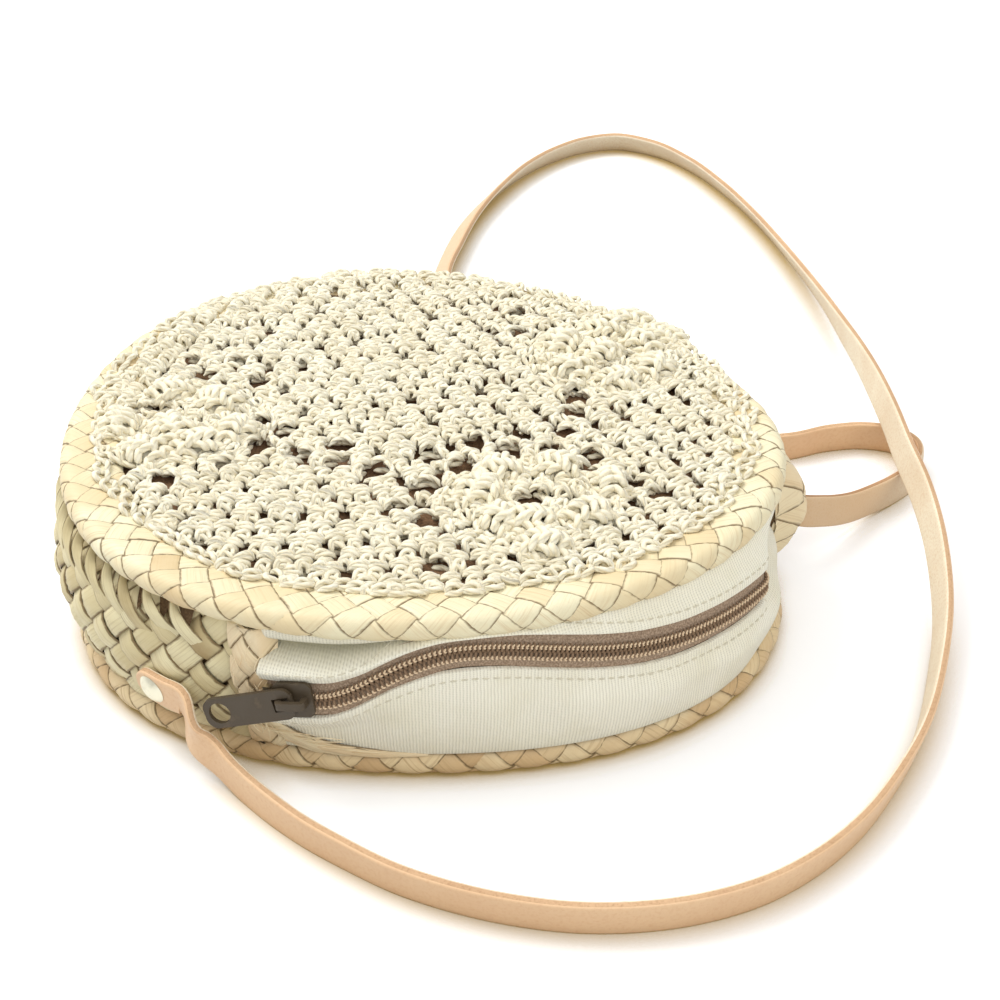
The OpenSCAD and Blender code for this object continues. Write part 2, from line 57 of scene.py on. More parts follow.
# Bag, the same values as in the part's source
BAG_R = 110.0
BAG_H = 58.0
TOP_ROLL_D = 8.0
FRONT_R = 92.0
BOTTOM_ROLL_D = 9.0
WALL_Z0 = 9.1
WALL_Z1 = 49.9
PANEL_Z = 53.5
GUSSET_FROM = -114.0
GUSSET_TO = -1.0
WALL_SPAN = 360.0 + GUSSET_FROM - GUSSET_TO
BINDING_SPAN = 4.5
ZIP_HALF_BAND = 6.3

# Yarn: plies, length of a ply's turn, radius, depth of the grooves as a share of it
PLIES = 3
PLY_PITCH = 3.6
YARN_R = 0.86
PLY_DEPTH = 0.08

# How far a tube is drawn in at both ends
TIP_SHARE = 0.35

# Strips of a plait: points in each crossing, shape across a strip
PLAIT_STEPS = 5
STRIP_ACROSS = np.array([-1, -0.93, -0.55, 0, 0.55, 0.93, 1.0])
STRIP_CROWN = np.array([-0.9, -0.12, 0.55, 1, 0.55, -0.12, -0.9])

# How the soft bag departs from a true circle: mean radius, then cos 2a, sin 2a, cos 3a, sin 3a
TOP_SHAPE = (110.0, 0.3, -3.6, 2.7, -2.1)
BOTTOM_SHAPE = (109.0, 0.9, -2.8, 1.6, -5.5)
BOTTOM_SHIFT = 2.5

# Course of the zip: azimuth, height of its middle, radius
ZIP_COURSE = [
    (-116, 29.0, 108.0), (-108, 30.0, 108.0), (-104.5, 30.9, 108.0), (-100, 31.8, 108.0),
    (-97.6, 33.7, 107.7), (-95.5, 35.6, 107.4), (-92.6, 39.2, 107.0), (-89.7, 42.4, 106.8),
    (-86.9, 44.7, 106.5), (-84, 46.4, 106.2), (-81, 46.9, 106.1), (-78.3, 46.5, 106.0),
    (-75.4, 45.8, 106.1), (-72.5, 44.7, 106.3), (-66.6, 42.1, 107.4), (-60.6, 39.4, 109.1),
    (-54.4, 37.0, 111.1), (-47.6, 35.3, 113.1), (-40, 34.3, 115.0), (-34, 33.8, 116.4),
    (-30, 33.3, 117.1), (-28, 33.1, 117.5), (-26.5, 33.4, 116.0), (-25, 35.0, 111.4),
    (-23.5, 36.6, 109.4), (-19, 37.2, 109.2), (-14, 37.0, 109.2), (-10, 36.8, 109.3), (-4, 36.2, 109.3)]

rng = np.random.default_rng(11)


# Angles and smooth steps

def turn(az):
    return np.radians(az)


def apart(a, b):
    """Difference of two azimuths, from -180 to 180."""
    return (np.asarray(a) - b + 180.0) % 360.0 - 180.0


def bell(x, middle, width):
    return np.exp(-((x - middle) / width) ** 2)


def hump(a, middle, width):
    return bell(apart(a, middle), 0.0, width)


def step(x, low, high):
    s = np.clip((np.asarray(x, float) - low) / (high - low), 0, 1)
    return s * s * (3 - 2 * s)


def curve_through(pairs, smooth=2.0):
    """A smoothed function through (x, y) pairs."""
    x, y = np.array(pairs, float).T
    fine = np.linspace(x[0] - 6 * smooth, x[-1] + 6 * smooth, 1200)
    raw = np.interp(fine, x, y)
    kernel = np.exp(-0.5 * (np.arange(-90, 91) * (fine[1] - fine[0]) / smooth) ** 2)
    padded = np.pad(raw, 90, mode="edge")
    soft = np.convolve(padded, kernel / kernel.sum(), mode="valid")
    return lambda a: np.interp(a, fine, soft)


def spread(*parts):
    """Arrays spread to one shape and stacked in the last axis, such as x, y and z."""
    return np.stack(np.broadcast_arrays(*parts), -1)


# The bag's outline and walls

def outline(az, shape):
    a = turn(az)
    mean, c2, s2, c3, s3 = shape
    return mean + c2 * np.cos(2 * a) + s2 * np.sin(2 * a) + c3 * np.cos(3 * a) + s3 * np.sin(3 * a)


def at(az, r, z, shift=0.0):
    a = turn(az)
    return spread(r * np.cos(a) + shift, r * np.sin(a), z)


def back_share(az):
    """1 at the back, where the crochet is drawn over the rim and the rim sinks; 0 in front."""
    return step(np.cos(turn(apart(az, 66))), 0.05, 0.8)


def end_bulge(az):
    return 8.5 * hump(az, -2, 9)


def bulge(az):
    return 2.6 + 4.2 * hump(az, 198, 30) + end_bulge(az)


def wall_point(az, z, out=0.0):
    """A point of the wall between the rims, out beyond its surface."""
    share = np.clip((np.asarray(z, float) - WALL_Z0) / (WALL_Z1 - WALL_Z0), -0.1, 1.1)
    low = outline(az, BOTTOM_SHAPE) - 2.2 - 4.0 * hump(az, -14, 15)
    high = outline(az, TOP_SHAPE) - 3.2
    swell = 1 - (2 * share - 1) ** 2
    r = low * (1 - share) + high * share + bulge(az) * swell + out
    return at(az, r, z, BOTTOM_SHIFT * (1 - share))


zip_height = curve_through([(az, z) for az, z, _ in ZIP_COURSE], 1.1)
zip_radius = curve_through([(az, r) for az, _, r in ZIP_COURSE], 1.1)


def zip_shown(az, side):
    """How far the tape shows from the zip's middle, above (side 1) or below (side -1)."""
    return ZIP_HALF_BAND - 2.2 * hump(az, -81, 8) * (side > 0)


def zip_point(az, across, out=0.0):
    """A point on the zip's band: across its middle line, out from the tape."""
    az = np.asarray(az, float)
    r = zip_radius(az)
    rise = (zip_height(az + 0.5) - zip_height(az - 0.5)) / (r * math.radians(1.0))
    lean = np.arctan(rise)
    return at(az - np.degrees(across * np.sin(lean) / r), r + out,
              zip_height(az) + across * np.cos(lean))


# Meshes

def grid_quads(rows, columns, wrap_rows=False, wrap_columns=False):
    """Faces of a grid of points, row by row."""
    index = np.arange(rows * columns).reshape(rows, columns)
    if wrap_rows:
        index = np.vstack([index, index[:1]])
    if wrap_columns:
        index = np.hstack([index, index[:, :1]])
    return np.stack([index[:-1, :-1], index[1:, :-1], index[1:, 1:], index[:-1, 1:]], -1).reshape(-1, 4)


def placed(name, data):
    """A new object in the scene."""
    holder = bpy.data.objects.new(name, data)
    bpy.context.scene.collection.objects.link(holder)
    return holder


class Bundle:
    """Collects points, faces and fibre directions of one piece."""

    def __init__(self):
        self.points, self.quads, self.fibres, self.zones, self.total = [], [], [], [], 0

    def add(self, points, quads, fibre=None, zone=0):
        points = np.asarray(points, float).reshape(-1, 3)
        self.points.append(points)
        self.quads.append(quads + self.total)
        self.fibres.append(np.zeros_like(points) if fibre is None else fibre.reshape(-1, 3))
        self.zones.append(np.broadcast_to(zone, len(quads)))
        self.total += len(points)

    def piece(self, name, materials, slot, body="bag", replaces=()):
        mesh = bpy.data.meshes.new(name)
        points = np.concatenate(self.points) * MM
        mesh.from_pydata(points.tolist(), [], np.concatenate(self.quads).tolist())
        layer = mesh.attributes.new("fibre", "FLOAT_VECTOR", "POINT")
        layer.data.foreach_set("vector", np.concatenate(self.fibres).ravel())
        for material in materials:
            mesh.materials.append(material)
        mesh.polygons.foreach_set("material_index", np.concatenate(self.zones).astype(np.int32))
        mesh.polygons.foreach_set("use_smooth", np.ones(len(mesh.polygons), bool))
        mesh.update()
        piece = placed(name, mesh)
        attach(piece, body)
        if replaces:
            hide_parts(*replaces)
        return piece


def unit(v):
    return v / np.maximum(np.linalg.norm(v, axis=-1, keepdims=True), 1e-9)


def run_along(points):
    """Length of a line, or of many lines, from the start to each point."""
    gaps = np.linalg.norm(np.diff(points, axis=-2), axis=-1)
    return np.concatenate([np.zeros_like(gaps[..., :1]), gaps.cumsum(-1)], -1)


def frames_along(paths):
    """Two normals along many paths at once, carried without twist."""
    tangent = unit(np.gradient(paths, axis=1))
    start = np.where(np.abs(tangent[:, :1, 2:]) > 0.8, [[[1.0, 0, 0]]], [[[0, 0, 1.0]]])
    normal = np.empty_like(tangent)
    last = start[:, 0]
    for i in range(paths.shape[1]):
        t = tangent[:, i]
        last = unit(last - (last * t).sum(-1, keepdims=True) * t)
        normal[:, i] = last
    return normal, np.cross(tangent, normal)


def tubes(bundle, paths, radius, sides=8, plied=False, strand=None, zone=0, girth=YARN_R):
    """Round or plied tubes along many paths with the same number of points."""
    paths = np.asarray(paths, float)
    count, length = paths.shape[:2]
    normal, side = frames_along(paths)
    run = run_along(paths)[:, :, None]
    angle = np.linspace(0, 2 * np.pi, sides, endpoint=False) + np.pi
    size = np.full((count, length, sides), radius)
    size[:, [0, -1]] *= TIP_SHARE
    if plied:
        size *= 1 + PLY_DEPTH * np.cos(PLIES * (angle - 2 * np.pi * run / (PLY_PITCH * PLIES)))
    ring = (normal[:, :, None] * (np.cos(angle) * size)[..., None]
            + side[:, :, None] * (np.sin(angle) * size)[..., None])
    if strand is None:
        strand = rng.random(count)
    fibre = spread(angle * girth, run, np.asarray(strand)[:, None, None])
    starts = np.arange(count)[:, None, None] * length * sides
    quads = (grid_quads(length, sides, wrap_columns=True) + starts).reshape(-1, 4)
    bundle.add(paths[:, :, None] + ring, quads, fibre, zone)


def plait(bundle, surface, length, width, pitch, lean, lift, crown, fill, seed, closed=False,
          waver=0.05):
    """Flat strips plaited on a band: surface(s, t, h) gives points from arrays, where s runs
    along the band, t across it and h out of it. The strips lean by lean degrees from the band,
    and each rises and dives with the strips that it crosses."""
    noise = np.random.default_rng(seed)
    sine, slope = math.sin(math.radians(lean)), 1 / math.tan(math.radians(lean))
    spacing = pitch / sine
    if closed:
        spacing = length / round(length / spacing)
    crossing = spacing / slope / 2
    t = np.linspace(0, width, max(math.ceil(width / crossing) * PLAIT_STEPS, 4) + 1)
    reach = width * slope
    half = spacing * fill / 2
    for sense in (1, -1):
        if closed:
            first, last = 0, round(length / spacing)
        elif sense > 0:
            first, last = int(-reach / spacing) - 1, int(length / spacing) + 1
        else:
            first, last = 0, int((length + reach) / spacing) + 1
        for k in range(first, last):
            width_k = half * (1 + noise.normal(0, waver))
            middle = k * spacing + sense * t * slope + noise.normal(0, waver * 0.5) * spacing * 0.4
            s = middle[:, None] + STRIP_ACROSS * width_k
            n = k + (s + sense * t[:, None] * slope) / spacing
            rise = np.clip(1.3 * np.cos(np.pi * n), -1, 1) * lift * sense
            rows_t = t
            if not closed:
                inside = (s[:, 3] > -half) & (s[:, 3] < length + half)
                if inside.sum() < 3:
                    continue
                s, rows_t, rise = np.clip(s[inside], 0, length), t[inside], rise[inside]
            h = rise + STRIP_CROWN * crown + noise.normal(0, 0.06)
            points = surface(s, np.broadcast_to(rows_t[:, None], s.shape), h)
            fibre = spread(STRIP_ACROSS * 4.0, rows_t[:, None] / sine, noise.random())
            bundle.add(points, grid_quads(*s.shape), fibre)


# Materials

def new_material(name):
    material = bpy.data.materials.new(name)
    material.use_nodes = True
    return material, material.node_tree


def feed(tree, target, inputs):
    """Feeds a node: a socket is linked, and a number, a colour or a vector is written in."""
    for key, value in dict(inputs).items():
        socket = target.inputs[key]
        if isinstance(value, bpy.types.NodeSocket):
            tree.links.new(value, socket)
        elif socket.type == "RGBA":
            socket.default_value = (*value, 1.0)
        else:
            socket.default_value = value


def node(tree, kind, inputs=(), **settings):
    made = tree.nodes.new("ShaderNode" + kind)
    for key, value in settings.items():
        setattr(made, key, value)
    feed(tree, made, inputs)
    return made


def finished(material, colour, roughness, relief, others=()):
    """Feeds the material's own shader and gives the material back."""
    tree = material.node_tree
    feed(tree, tree.nodes["Principled BSDF"],
         {"Base Color": colour, "Roughness": roughness, "Normal": relief, **dict(others)})
    return material


def ramp(tree, source, stops):
    made = node(tree, "ValToRGB", {"Fac": source})
    elements = made.color_ramp.elements
    while len(elements) < len(stops):
        elements.new(0.5)
    for element, (place, colour) in zip(elements, stops):
        element.position = place
        element.color = (*colour, 1.0)
    return made.outputs["Color"]


def fibre_vector(tree):
    return node(tree, "Attribute", attribute_name="fibre").outputs["Vector"]


def noise_at(tree, vector, scale, detail, roughness):
    return node(tree, "TexNoise", {"Vector": vector, "Scale": scale, "Detail": detail,
                                   "Roughness": roughness}).outputs["Fac"]


def fibre_noise(tree, scale, detail, roughness=0.6):
    """Noise in the piece's own fibre coordinates, in millimetres, stretched by scale."""
    mapping = node(tree, "Mapping", {"Vector": fibre_vector(tree), "Scale": scale})
    return noise_at(tree, mapping.outputs["Vector"], 1.0, detail, roughness)


def place_noise(tree, scale, detail=3.0, roughness=0.55):
    """Noise in the object's own place, with scale in features per metre."""
    return noise_at(tree, node(tree, "TexCoord").outputs["Object"], scale, detail, roughness)


def fibre_axis(tree, axis):
    return node(tree, "SeparateXYZ", {"Vector": fibre_vector(tree)}).outputs[axis]


def maths(tree, operation, *values):
    return node(tree, "Math", enumerate(values), operation=operation).outputs[0]


def mixed(tree, a, b, factor):
    return node(tree, "Mix", {0: factor, 6: a, 7: b}, data_type="RGBA").outputs[2]


def bump(tree, height, distance, strength, before=None):
    """A normal with relief, added to the normal before it."""
    inputs = {"Strength": strength, "Distance": distance * MM, "Height": height}
    if before:
        inputs["Normal"] = before
    return node(tree, "Bump", inputs).outputs["Normal"]


def scaled(tree, value, low, high, out_low=0.0, out_high=1.0):
    return node(tree, "MapRange", {"Value": value, "From Min": low, "From Max": high,
                                   "To Min": out_low, "To Max": out_high}).outputs["Result"]


def toned(tree, a, b, value, low, high, most=1.0):
    """Colour a, turned toward b by as much as most while the value goes from low to high."""
    return mixed(tree, a, b, scaled(tree, value, low, high, 0.0, most))


def straw_material(name, pale, mid, dark):
    material, tree = new_material(name)
    tone = ramp(tree, fibre_axis(tree, "Z"),
                [(0.0, mid), (0.3, pale), (0.75, pale), (0.93, mid), (1.0, dark)])
    streak = fibre_noise(tree, (2.2, 0.05, 9.0), 5.0)
    streaked = toned(tree, tone, dark, streak, 0.50, 0.78, 0.8)
    stained = toned(tree, streaked, mid, place_noise(tree, 46.0, 4.0), 0.42, 0.66, 0.8)
    # A ragged dark line along both edges of a strip, where its X comes near 4: painted shade where the
    # strips meet and pass under each other
    ragged = maths(tree, "MULTIPLY_ADD", fibre_noise(tree, (0.6, 0.45, 9.0), 2.0), 0.9,
                   maths(tree, "ABSOLUTE", fibre_axis(tree, "X")))
    edge_shaded = toned(tree, stained, STRIP_EDGE_SHADE, ragged, 3.75, 4.25, 0.9)
    fine = fibre_noise(tree, (5.0, 0.12, 9.0), 3.0)
    return finished(material, edge_shaded, scaled(tree, streak, 0.3, 0.7, 0.42, 0.62),
                    bump(tree, fine, 0.22, 0.55), {"Specular IOR Level": 0.4})


def yarn_material(name, pale, deep):
    material, tree = new_material(name)
    fuzz = place_noise(tree, 900.0, 4.0, 0.7)
    tone = toned(tree, pale, deep, fuzz, 0.4, 0.75, 0.3)
    # Each strand's tone follows its fibre Z: at random on the stitches, painted shade low on the bobbles
    varied_and_shaded = toned(tree, tone, deep, fibre_axis(tree, "Z"), 0.0, 1.0, 0.34)
    # The plies wind round each yarn: turns across the yarn less turns along it
    across = maths(tree, "MULTIPLY", fibre_axis(tree, "X"), PLIES / YARN_R)
    turns = maths(tree, "MULTIPLY_ADD", fibre_axis(tree, "Y"), -2 * math.pi / PLY_PITCH, across)
    wave = maths(tree, "COSINE", turns)
    groove = scaled(tree, wave, -1.0, -0.1, 1.0, 0.0)
    # The grooves between the plies are painted darker: painted shade
    groove_shaded = toned(tree, varied_and_shaded, deep, groove, 0.0, 1.0, 0.5)
    plies = bump(tree, scaled(tree, wave, -1.0, 0.6), 0.34, 0.9)
    return finished(material, groove_shaded, 0.9, bump(tree, fuzz, 0.10, 0.5, plies),
                    {"Specular IOR Level": 0.2, "Sheen Weight": 0.25, "Sheen Roughness": 0.5})


def woven_wave(tree, scale, distortion, direction):
    inputs = {"Vector": fibre_vector(tree), "Scale": scale, "Distortion": distortion,
              "Detail": 2.0, "Detail Scale": 1.5}
    return node(tree, "TexWave", inputs, bands_direction=direction).outputs["Fac"]


def canvas_material(name):
    material, tree = new_material(name)
    rows = scaled(tree, woven_wave(tree, 0.52, 0.8, "Y"), 0.0, 1.0, 0.0, 0.45)
    weave = maths(tree, "ADD", woven_wave(tree, 0.33, 1.2, "X"), rows)
    base = toned(tree, (0.95, 0.92, 0.78), (0.89, 0.85, 0.68), place_noise(tree, 60.0), 0.4, 0.7)
    woven = mixed(tree, base, (0.50, 0.47, 0.37), scaled(tree, weave, 0.1, 0.7, 0.5, 0.0))
    # Fibre Z darkens the canvas: painted shade in the crease and under the bottom rim
    shaded_canvas = mixed(tree, woven, (0.38, 0.35, 0.22), fibre_axis(tree, "Z"))
    return finished(material, shaded_canvas, 0.88, bump(tree, weave, 0.18, 0.7),
                    {"Specular IOR Level": 0.2, "Sheen Weight": 0.15})


def cloth_material(name, colour, dark, scale=1500.0):
    material, tree = new_material(name)
    grain = place_noise(tree, scale, 3.0, 0.6)
    return finished(material, toned(tree, colour, dark, grain, 0.35, 0.7), 0.92,
                    bump(tree, grain, 0.2, 0.5), {"Specular IOR Level": 0.15})


def tape_material(name):
    material, tree = new_material(name)
    weave = fibre_noise(tree, (1.6, 1.6, 1.0), 3.0, 0.7)
    speckled = toned(tree, (0.25, 0.17, 0.11), (0.50, 0.37, 0.26), weave, 0.42, 0.62)
    return finished(material, speckled, 0.75, bump(tree, weave, 0.2, 0.7))


def leather_material(name, pale, deep, roughness, coat, grain_size, grain_depth):
    material, tree = new_material(name)
    tone = toned(tree, pale, deep, place_noise(tree, 45.0, 4.0), 0.35, 0.7, 0.3)
    speck = place_noise(tree, grain_size, 4.0, 0.7)
    grained = toned(tree, tone, deep, speck, 0.48, 0.72, 0.6)
    # The fibre's Z turns the leather toward its deep tone: painted shade on the strap's last stretch
    return finished(material, mixed(tree, grained, deep, fibre_axis(tree, "Z")),
                    scaled(tree, speck, 0.3, 0.7, roughness - 0.06, roughness + 0.06),
                    bump(tree, speck, grain_depth, 0.6),
                    {"Coat Weight": coat, "Coat Roughness": 0.35, "Specular IOR Level": 0.35})


def metal_material(name, colour, worn, roughness, metallic):
    material, tree = new_material(name)
    wear = place_noise(tree, 220.0, 5.0, 0.65)
    return finished(material, toned(tree, colour, worn, wear, 0.55, 0.75, 0.8),
                    scaled(tree, wear, 0.3, 0.7, roughness, roughness + 0.18),
                    bump(tree, place_noise(tree, 1600.0, 2.0), 0.03, 0.3), {"Metallic": metallic})


# Dark brown of the strips' edges: painted shade
STRIP_EDGE_SHADE = (0.16, 0.10, 0.035)
STRAW = straw_material("straw", (0.84, 0.77, 0.53), (0.76, 0.62, 0.37), (0.58, 0.40, 0.20))
STRAW_BROWN = straw_material("straw_brown", (0.78, 0.63, 0.38), (0.62, 0.43, 0.22), (0.36, 0.21, 0.09))
STRAW_GREEN = straw_material("straw_green", (0.78, 0.70, 0.44), (0.64, 0.54, 0.30), (0.38, 0.27, 0.12))
RAFFIA = straw_material("raffia", (0.86, 0.74, 0.50), (0.80, 0.62, 0.38), (0.60, 0.42, 0.22))
COTTON = yarn_material("cotton_yarn", (0.93, 0.89, 0.73), (0.72, 0.61, 0.38))
CANVAS = canvas_material("canvas")
LINING = cloth_material("lining_cloth", (0.26, 0.15, 0.08), (0.12, 0.07, 0.04))
# Dark cloth seen in the plaits' gaps: painted shade
GAP = cloth_material("shade_in_the_gaps", (0.16, 0.10, 0.05), (0.07, 0.04, 0.02))
TAPE = tape_material("zip_tape")
COIL = cloth_material("zip_coil", (0.30, 0.20, 0.125), (0.20, 0.13, 0.08), 2600.0)
SEAM_DOTS = cloth_material("zip_seam_thread", (0.84, 0.66, 0.45), (0.66, 0.49, 0.32), 3000.0)
THREAD = cloth_material("sewing_thread", (0.78, 0.74, 0.60), (0.60, 0.55, 0.42), 3000.0)
SMOOTH_LEATHER = leather_material("leather_smooth", (0.80, 0.545, 0.32), (0.70, 0.42, 0.23),
                                  0.48, 0.12, 900.0, 0.05)
SUEDE_LEATHER = leather_material("leather_suede", (0.86, 0.76, 0.58), (0.66, 0.44, 0.25),
                                 0.85, 0.0, 1300.0, 0.15)
EDGE_LEATHER = leather_material("leather_edge", (0.66, 0.43, 0.25), (0.36, 0.19, 0.09),
                                0.85, 0.0, 1500.0, 0.25)
DARK_METAL = metal_material("dark_enamel", (0.062, 0.043, 0.022), (0.12, 0.085, 0.05), 0.42, 0.0)
NICKEL = metal_material("nickel", (0.74, 0.71, 0.56), (0.58, 0.55, 0.43), 0.3, 1.0)


# Crocheted front

MOTIFS = [(35.0, -47.0), (62.0, 40.0), (-70.0, -5.0)]
MOTIF_R = 26.0
STITCH_W = 5.6
ROW_H = 7.3
PAIR_SHIFT = 0.85
ROWS_ABOUT = (-60.0, 260.0)
ROWS_REACH = 118.0
MOTIF_ROUNDS = (5.0, 11.0, 17.0, 23.0)
PUFF_CLEAR = 4.5

# Bobbles of each motif, and the openings among them: x, y, radius
PUFFS = [(21, -43), (27, -59), (39, -71), (52, -56), (59, -40), (44, -31), (35, -60), (26, -33),
         (-74, -8), (-90, -5), (-64, -17), (-54, -9), (-80, -21), (-62, 10), (-78, 16),
         (47, 49), (60, 42), (74, 50), (77, 33), (50, 30), (65, 23), (62, 60),
         (72, 72), (82, 60)]
HOLES = [(35, -47, 3.4), (6, -40, 2.8), (6, -58, 2.6), (-2, -50, 2.2), (16, -29, 3.2), (6, -24, 2.6),
         (19, -17, 2.4), (29, -21, 2.8), (32, -11, 2.2), (43, -21, 3.0), (55, -23, 2.6), (52, -31, 2.0),
         (66, -38, 2.4), (72, -43, 2.0), (10, -80, 2.4), (-87, 6, 2.2), (-83, 6.4, 2.4), (-78, 6, 2.2),
         (-91, -15, 2.2), (-46, -17, 3.0), (-39, -8, 2.6), (-47, -1, 2.2), (-33, -23, 2.8),
         (-72, -35, 2.6), (-55, -28, 2.2), (-51, 24, 2.8), (-68, 28, 2.6), (-75, 40, 2.2),
         (-60, 38, 2.0), (-22, -18, 2.8), (-21, -28, 2.6), (-10, -32, 3.0), (63, 63, 2.6),
         (51, 15, 3.0), (50, 4, 2.6), (47, -9, 2.6), (33, 58, 2.4), (24, 58, 2.2), (33, 74, 2.4),
         (30, 86, 2.0), (62, 33, 2.0)]
HOLE_REACH = 2.3

# How far the crochet's edge stands inside the rim's outline: azimuth, distance
EDGE_INSETS = [
    (-190, 7.0), (-180, 8.7), (-171, 10.4), (-161, 12.3), (-144, 14.5), (-133, 15.5), (-120, 14.3),
    (-104, 14.8), (-88, 14.0), (-71, 13.2), (-60, 11.0), (-41, 12.0), (-29, 12.0), (-17, 11.0),
    (-5, 9.3), (5, 6.3), (17, 3.2), (33, 0.8), (55, 0.4), (75, 1.6), (95, 1.8), (114, 1.4),
    (135, 2.8), (149, 5.2), (164, 5.7), (172, 6.6), (180, 8.7)]
edge_inset = curve_through(EDGE_INSETS, 3.0)
RIM_SINK = 3.4

# Height of the crochet on the rim: distance inside the outline, height
RIM_BAND = [(-2.0, 51.0), (0.0, 53.5), (1.5, 55.6), (4.0, 56.6), (8.0, 56.3), (12.0, 55.9),
            (17.5, 55.0), (19.0, 54.0), (23.0, 52.0)]
PUFF_LENGTH = 10.6
PUFF_WIDTH = 12.8
PUFF_RISE = 7.2
THICK_YARN_R = YARN_R * 1.42


def panel_height(x, y):
    """Top of the panel, which rises over the rim's flat band and hangs over its back edge."""
    az = np.degrees(np.arctan2(y, x))
    r = np.hypot(x, y) / FRONT_R
    soft = 0.8 * np.sin(x / 17.0 + 1.3) * np.cos(y / 21.0 - 0.4)
    dome = PANEL_Z + 0.2 + 2.0 * (1 - np.minimum(r, 1.1) ** 2) + soft * (1 - np.minimum(r, 1) ** 4)
    inside = outline(az, TOP_SHAPE) - np.hypot(x, y)
    band = np.interp(inside, *zip(*RIM_BAND)) - RIM_SINK * back_share(az)
    return (dome + band + np.sqrt((dome - band) ** 2 + 0.5)) / 2


def panel_reach(x, y):
    """How far the crochet reaches in that direction, following the rim's real outline."""
    az = np.degrees(np.arctan2(y, x))
    return outline(az, TOP_SHAPE) - edge_inset(az)


def settle(flat, height):
    """Lays plan points on the panel, at a height over it."""
    x, y = flat[..., 0], flat[..., 1]
    rim_flat = 1 - 0.4 * step(np.hypot(x, y) - panel_reach(x, y), -9.0, -1.0)
    return np.concatenate([flat, (panel_height(x, y) + height * rim_flat)[..., None]], -1)


def clear_holes(paths):
    """Drops the strands that cross an opening and pushes the others aside, so it shows."""
    keep = np.ones(len(paths), bool)
    for x, y, radius in HOLES:
        away = np.linalg.norm(paths[..., :2] - (x, y), axis=-1)
        keep &= away.min(1) > radius * 0.62
    paths = paths[keep].copy()
    for x, y, radius in HOLES:
        reach = radius * HOLE_REACH
        gap = paths[..., :2] - (x, y)
        away = np.linalg.norm(gap, axis=-1, keepdims=True)
        pushed = (x, y) + gap / away * (radius + away * (1 - radius / reach))
        paths[..., :2] = np.where(away < reach, pushed, paths[..., :2])
    return paths, keep


def loose(paths, amount):
    """Bends each strand a little and at random, more in its middle than at its ends."""
    count, length = paths.shape[:2]
    knots = rng.normal(0, amount, (count, 4, 3))
    a = np.linspace(0, 3, length)
    i = np.minimum(a.astype(int), 2)
    f = (a - i)[None, :, None]
    return paths + knots[:, i] * (1 - f) + knots[:, i + 1] * f


def yarn(bundle, paths, stray, radius=YARN_R, sides=8, strand=None):
    paths, keep = clear_holes(loose(np.asarray(paths, float), stray))
    if len(paths):
        tubes(bundle, paths, radius, sides, plied=True,
              strand=None if strand is None else np.asarray(strand)[keep])


def cotton(bundle, name):
    bundle.piece(name, [COTTON], "cotton", replaces=["crochet_front"])


def headings(angle):
    """Unit vectors that point at an angle and to its left."""
    out = np.array([math.cos(angle), math.sin(angle)])
    return out, np.array([-out[1], out[0]])


def stitch_paths():
    """Yarn of one crochet stitch: along the row, up the row, and height."""
    a = np.linspace(0, 1, 9)
    arch = np.sin(np.pi * a)
    sway = 0.55 * np.sin(1.4 * np.pi * a)
    left = spread(-1.15 + 0.5 * a - sway, 0.1 + 5.9 * a, 1.0 + 1.1 * arch ** 0.5 + sway)
    right = spread(1.15 - 0.5 * a + sway, 0.1 + 5.9 * a, 1.0 + 1.1 * arch ** 0.5 - sway)
    wrap = spread(-2.0 + 4.0 * a, 3.1 + 1.5 * a, 0.5 + 2.3 * arch ** 0.6)
    tie = spread(2.0 - 3.8 * a, 0.8 + 1.6 * a, 0.4 + 2.1 * arch ** 0.6)
    upper = spread(-3.2 + 5.9 * a, 6.2 + 1.5 * arch ** 0.8 + 0.5 * a, 1.0 + 1.6 * arch ** 0.6)
    lower = spread(-3.0 + 5.9 * a, 6.1 - 0.8 * arch ** 0.8 + 0.4 * a, 1.0 + 1.9 * arch ** 0.6)
    under = spread(-2.3 + 4.6 * a, 1.9 + 0.4 * arch, -0.5 + 0.2 * arch)
    below = spread(-2.3 + 4.6 * a, 4.6 - 0.4 * arch, -0.5 + 0.2 * arch)
    return np.stack([left, right, wrap, tie, upper, lower, under, below])


def nearest(x, y, places):
    return min(math.hypot(x - px, y - py) for px, py in places)


def stitch_places():
    """Middle of each stitch and its direction up the row: curved rows, and rounds in the motifs.
    In every second row the stitches stand in pairs, which leaves the small slots between them."""
    cx, cy = ROWS_ABOUT
    for row, radius in enumerate(np.arange(cy - ROWS_REACH, cy + ROWS_REACH, ROW_H)):
        count = 2 * int(np.pi * radius / STITCH_W)
        wave = rng.normal(0, 0.4)
        for k in range(count):
            pair = PAIR_SHIFT / STITCH_W * (1 if k % 2 else -1) * (1 if row % 4 == 0 else -1)
            if row % 2:
                pair *= 0.15
            angle = 2 * np.pi * (k + pair + 0.5 * (row % 2) + 0.13 * row) / count
            swell = radius + wave + 0.7 * math.sin(k * 0.31 + row)
            x, y = cx + swell * math.sin(angle), cy - swell * math.cos(angle)
            if nearest(x, y, MOTIFS) > MOTIF_R and nearest(x, y, PUFFS) >= PUFF_CLEAR:
                yield x, y, -math.sin(angle), math.cos(angle)
    for mx, my in MOTIFS:
        for radius in MOTIF_ROUNDS:
            count = int(2 * np.pi * radius / (STITCH_W - 0.4))
            start = rng.random()
            for k in range(count):
                angle = 2 * np.pi * (k + start) / count
                ux, uy = math.cos(angle), math.sin(angle)
                x, y = mx + radius * ux, my + radius * uy
                if nearest(x, y, PUFFS) >= PUFF_CLEAR:
                    yield x, y, ux, uy


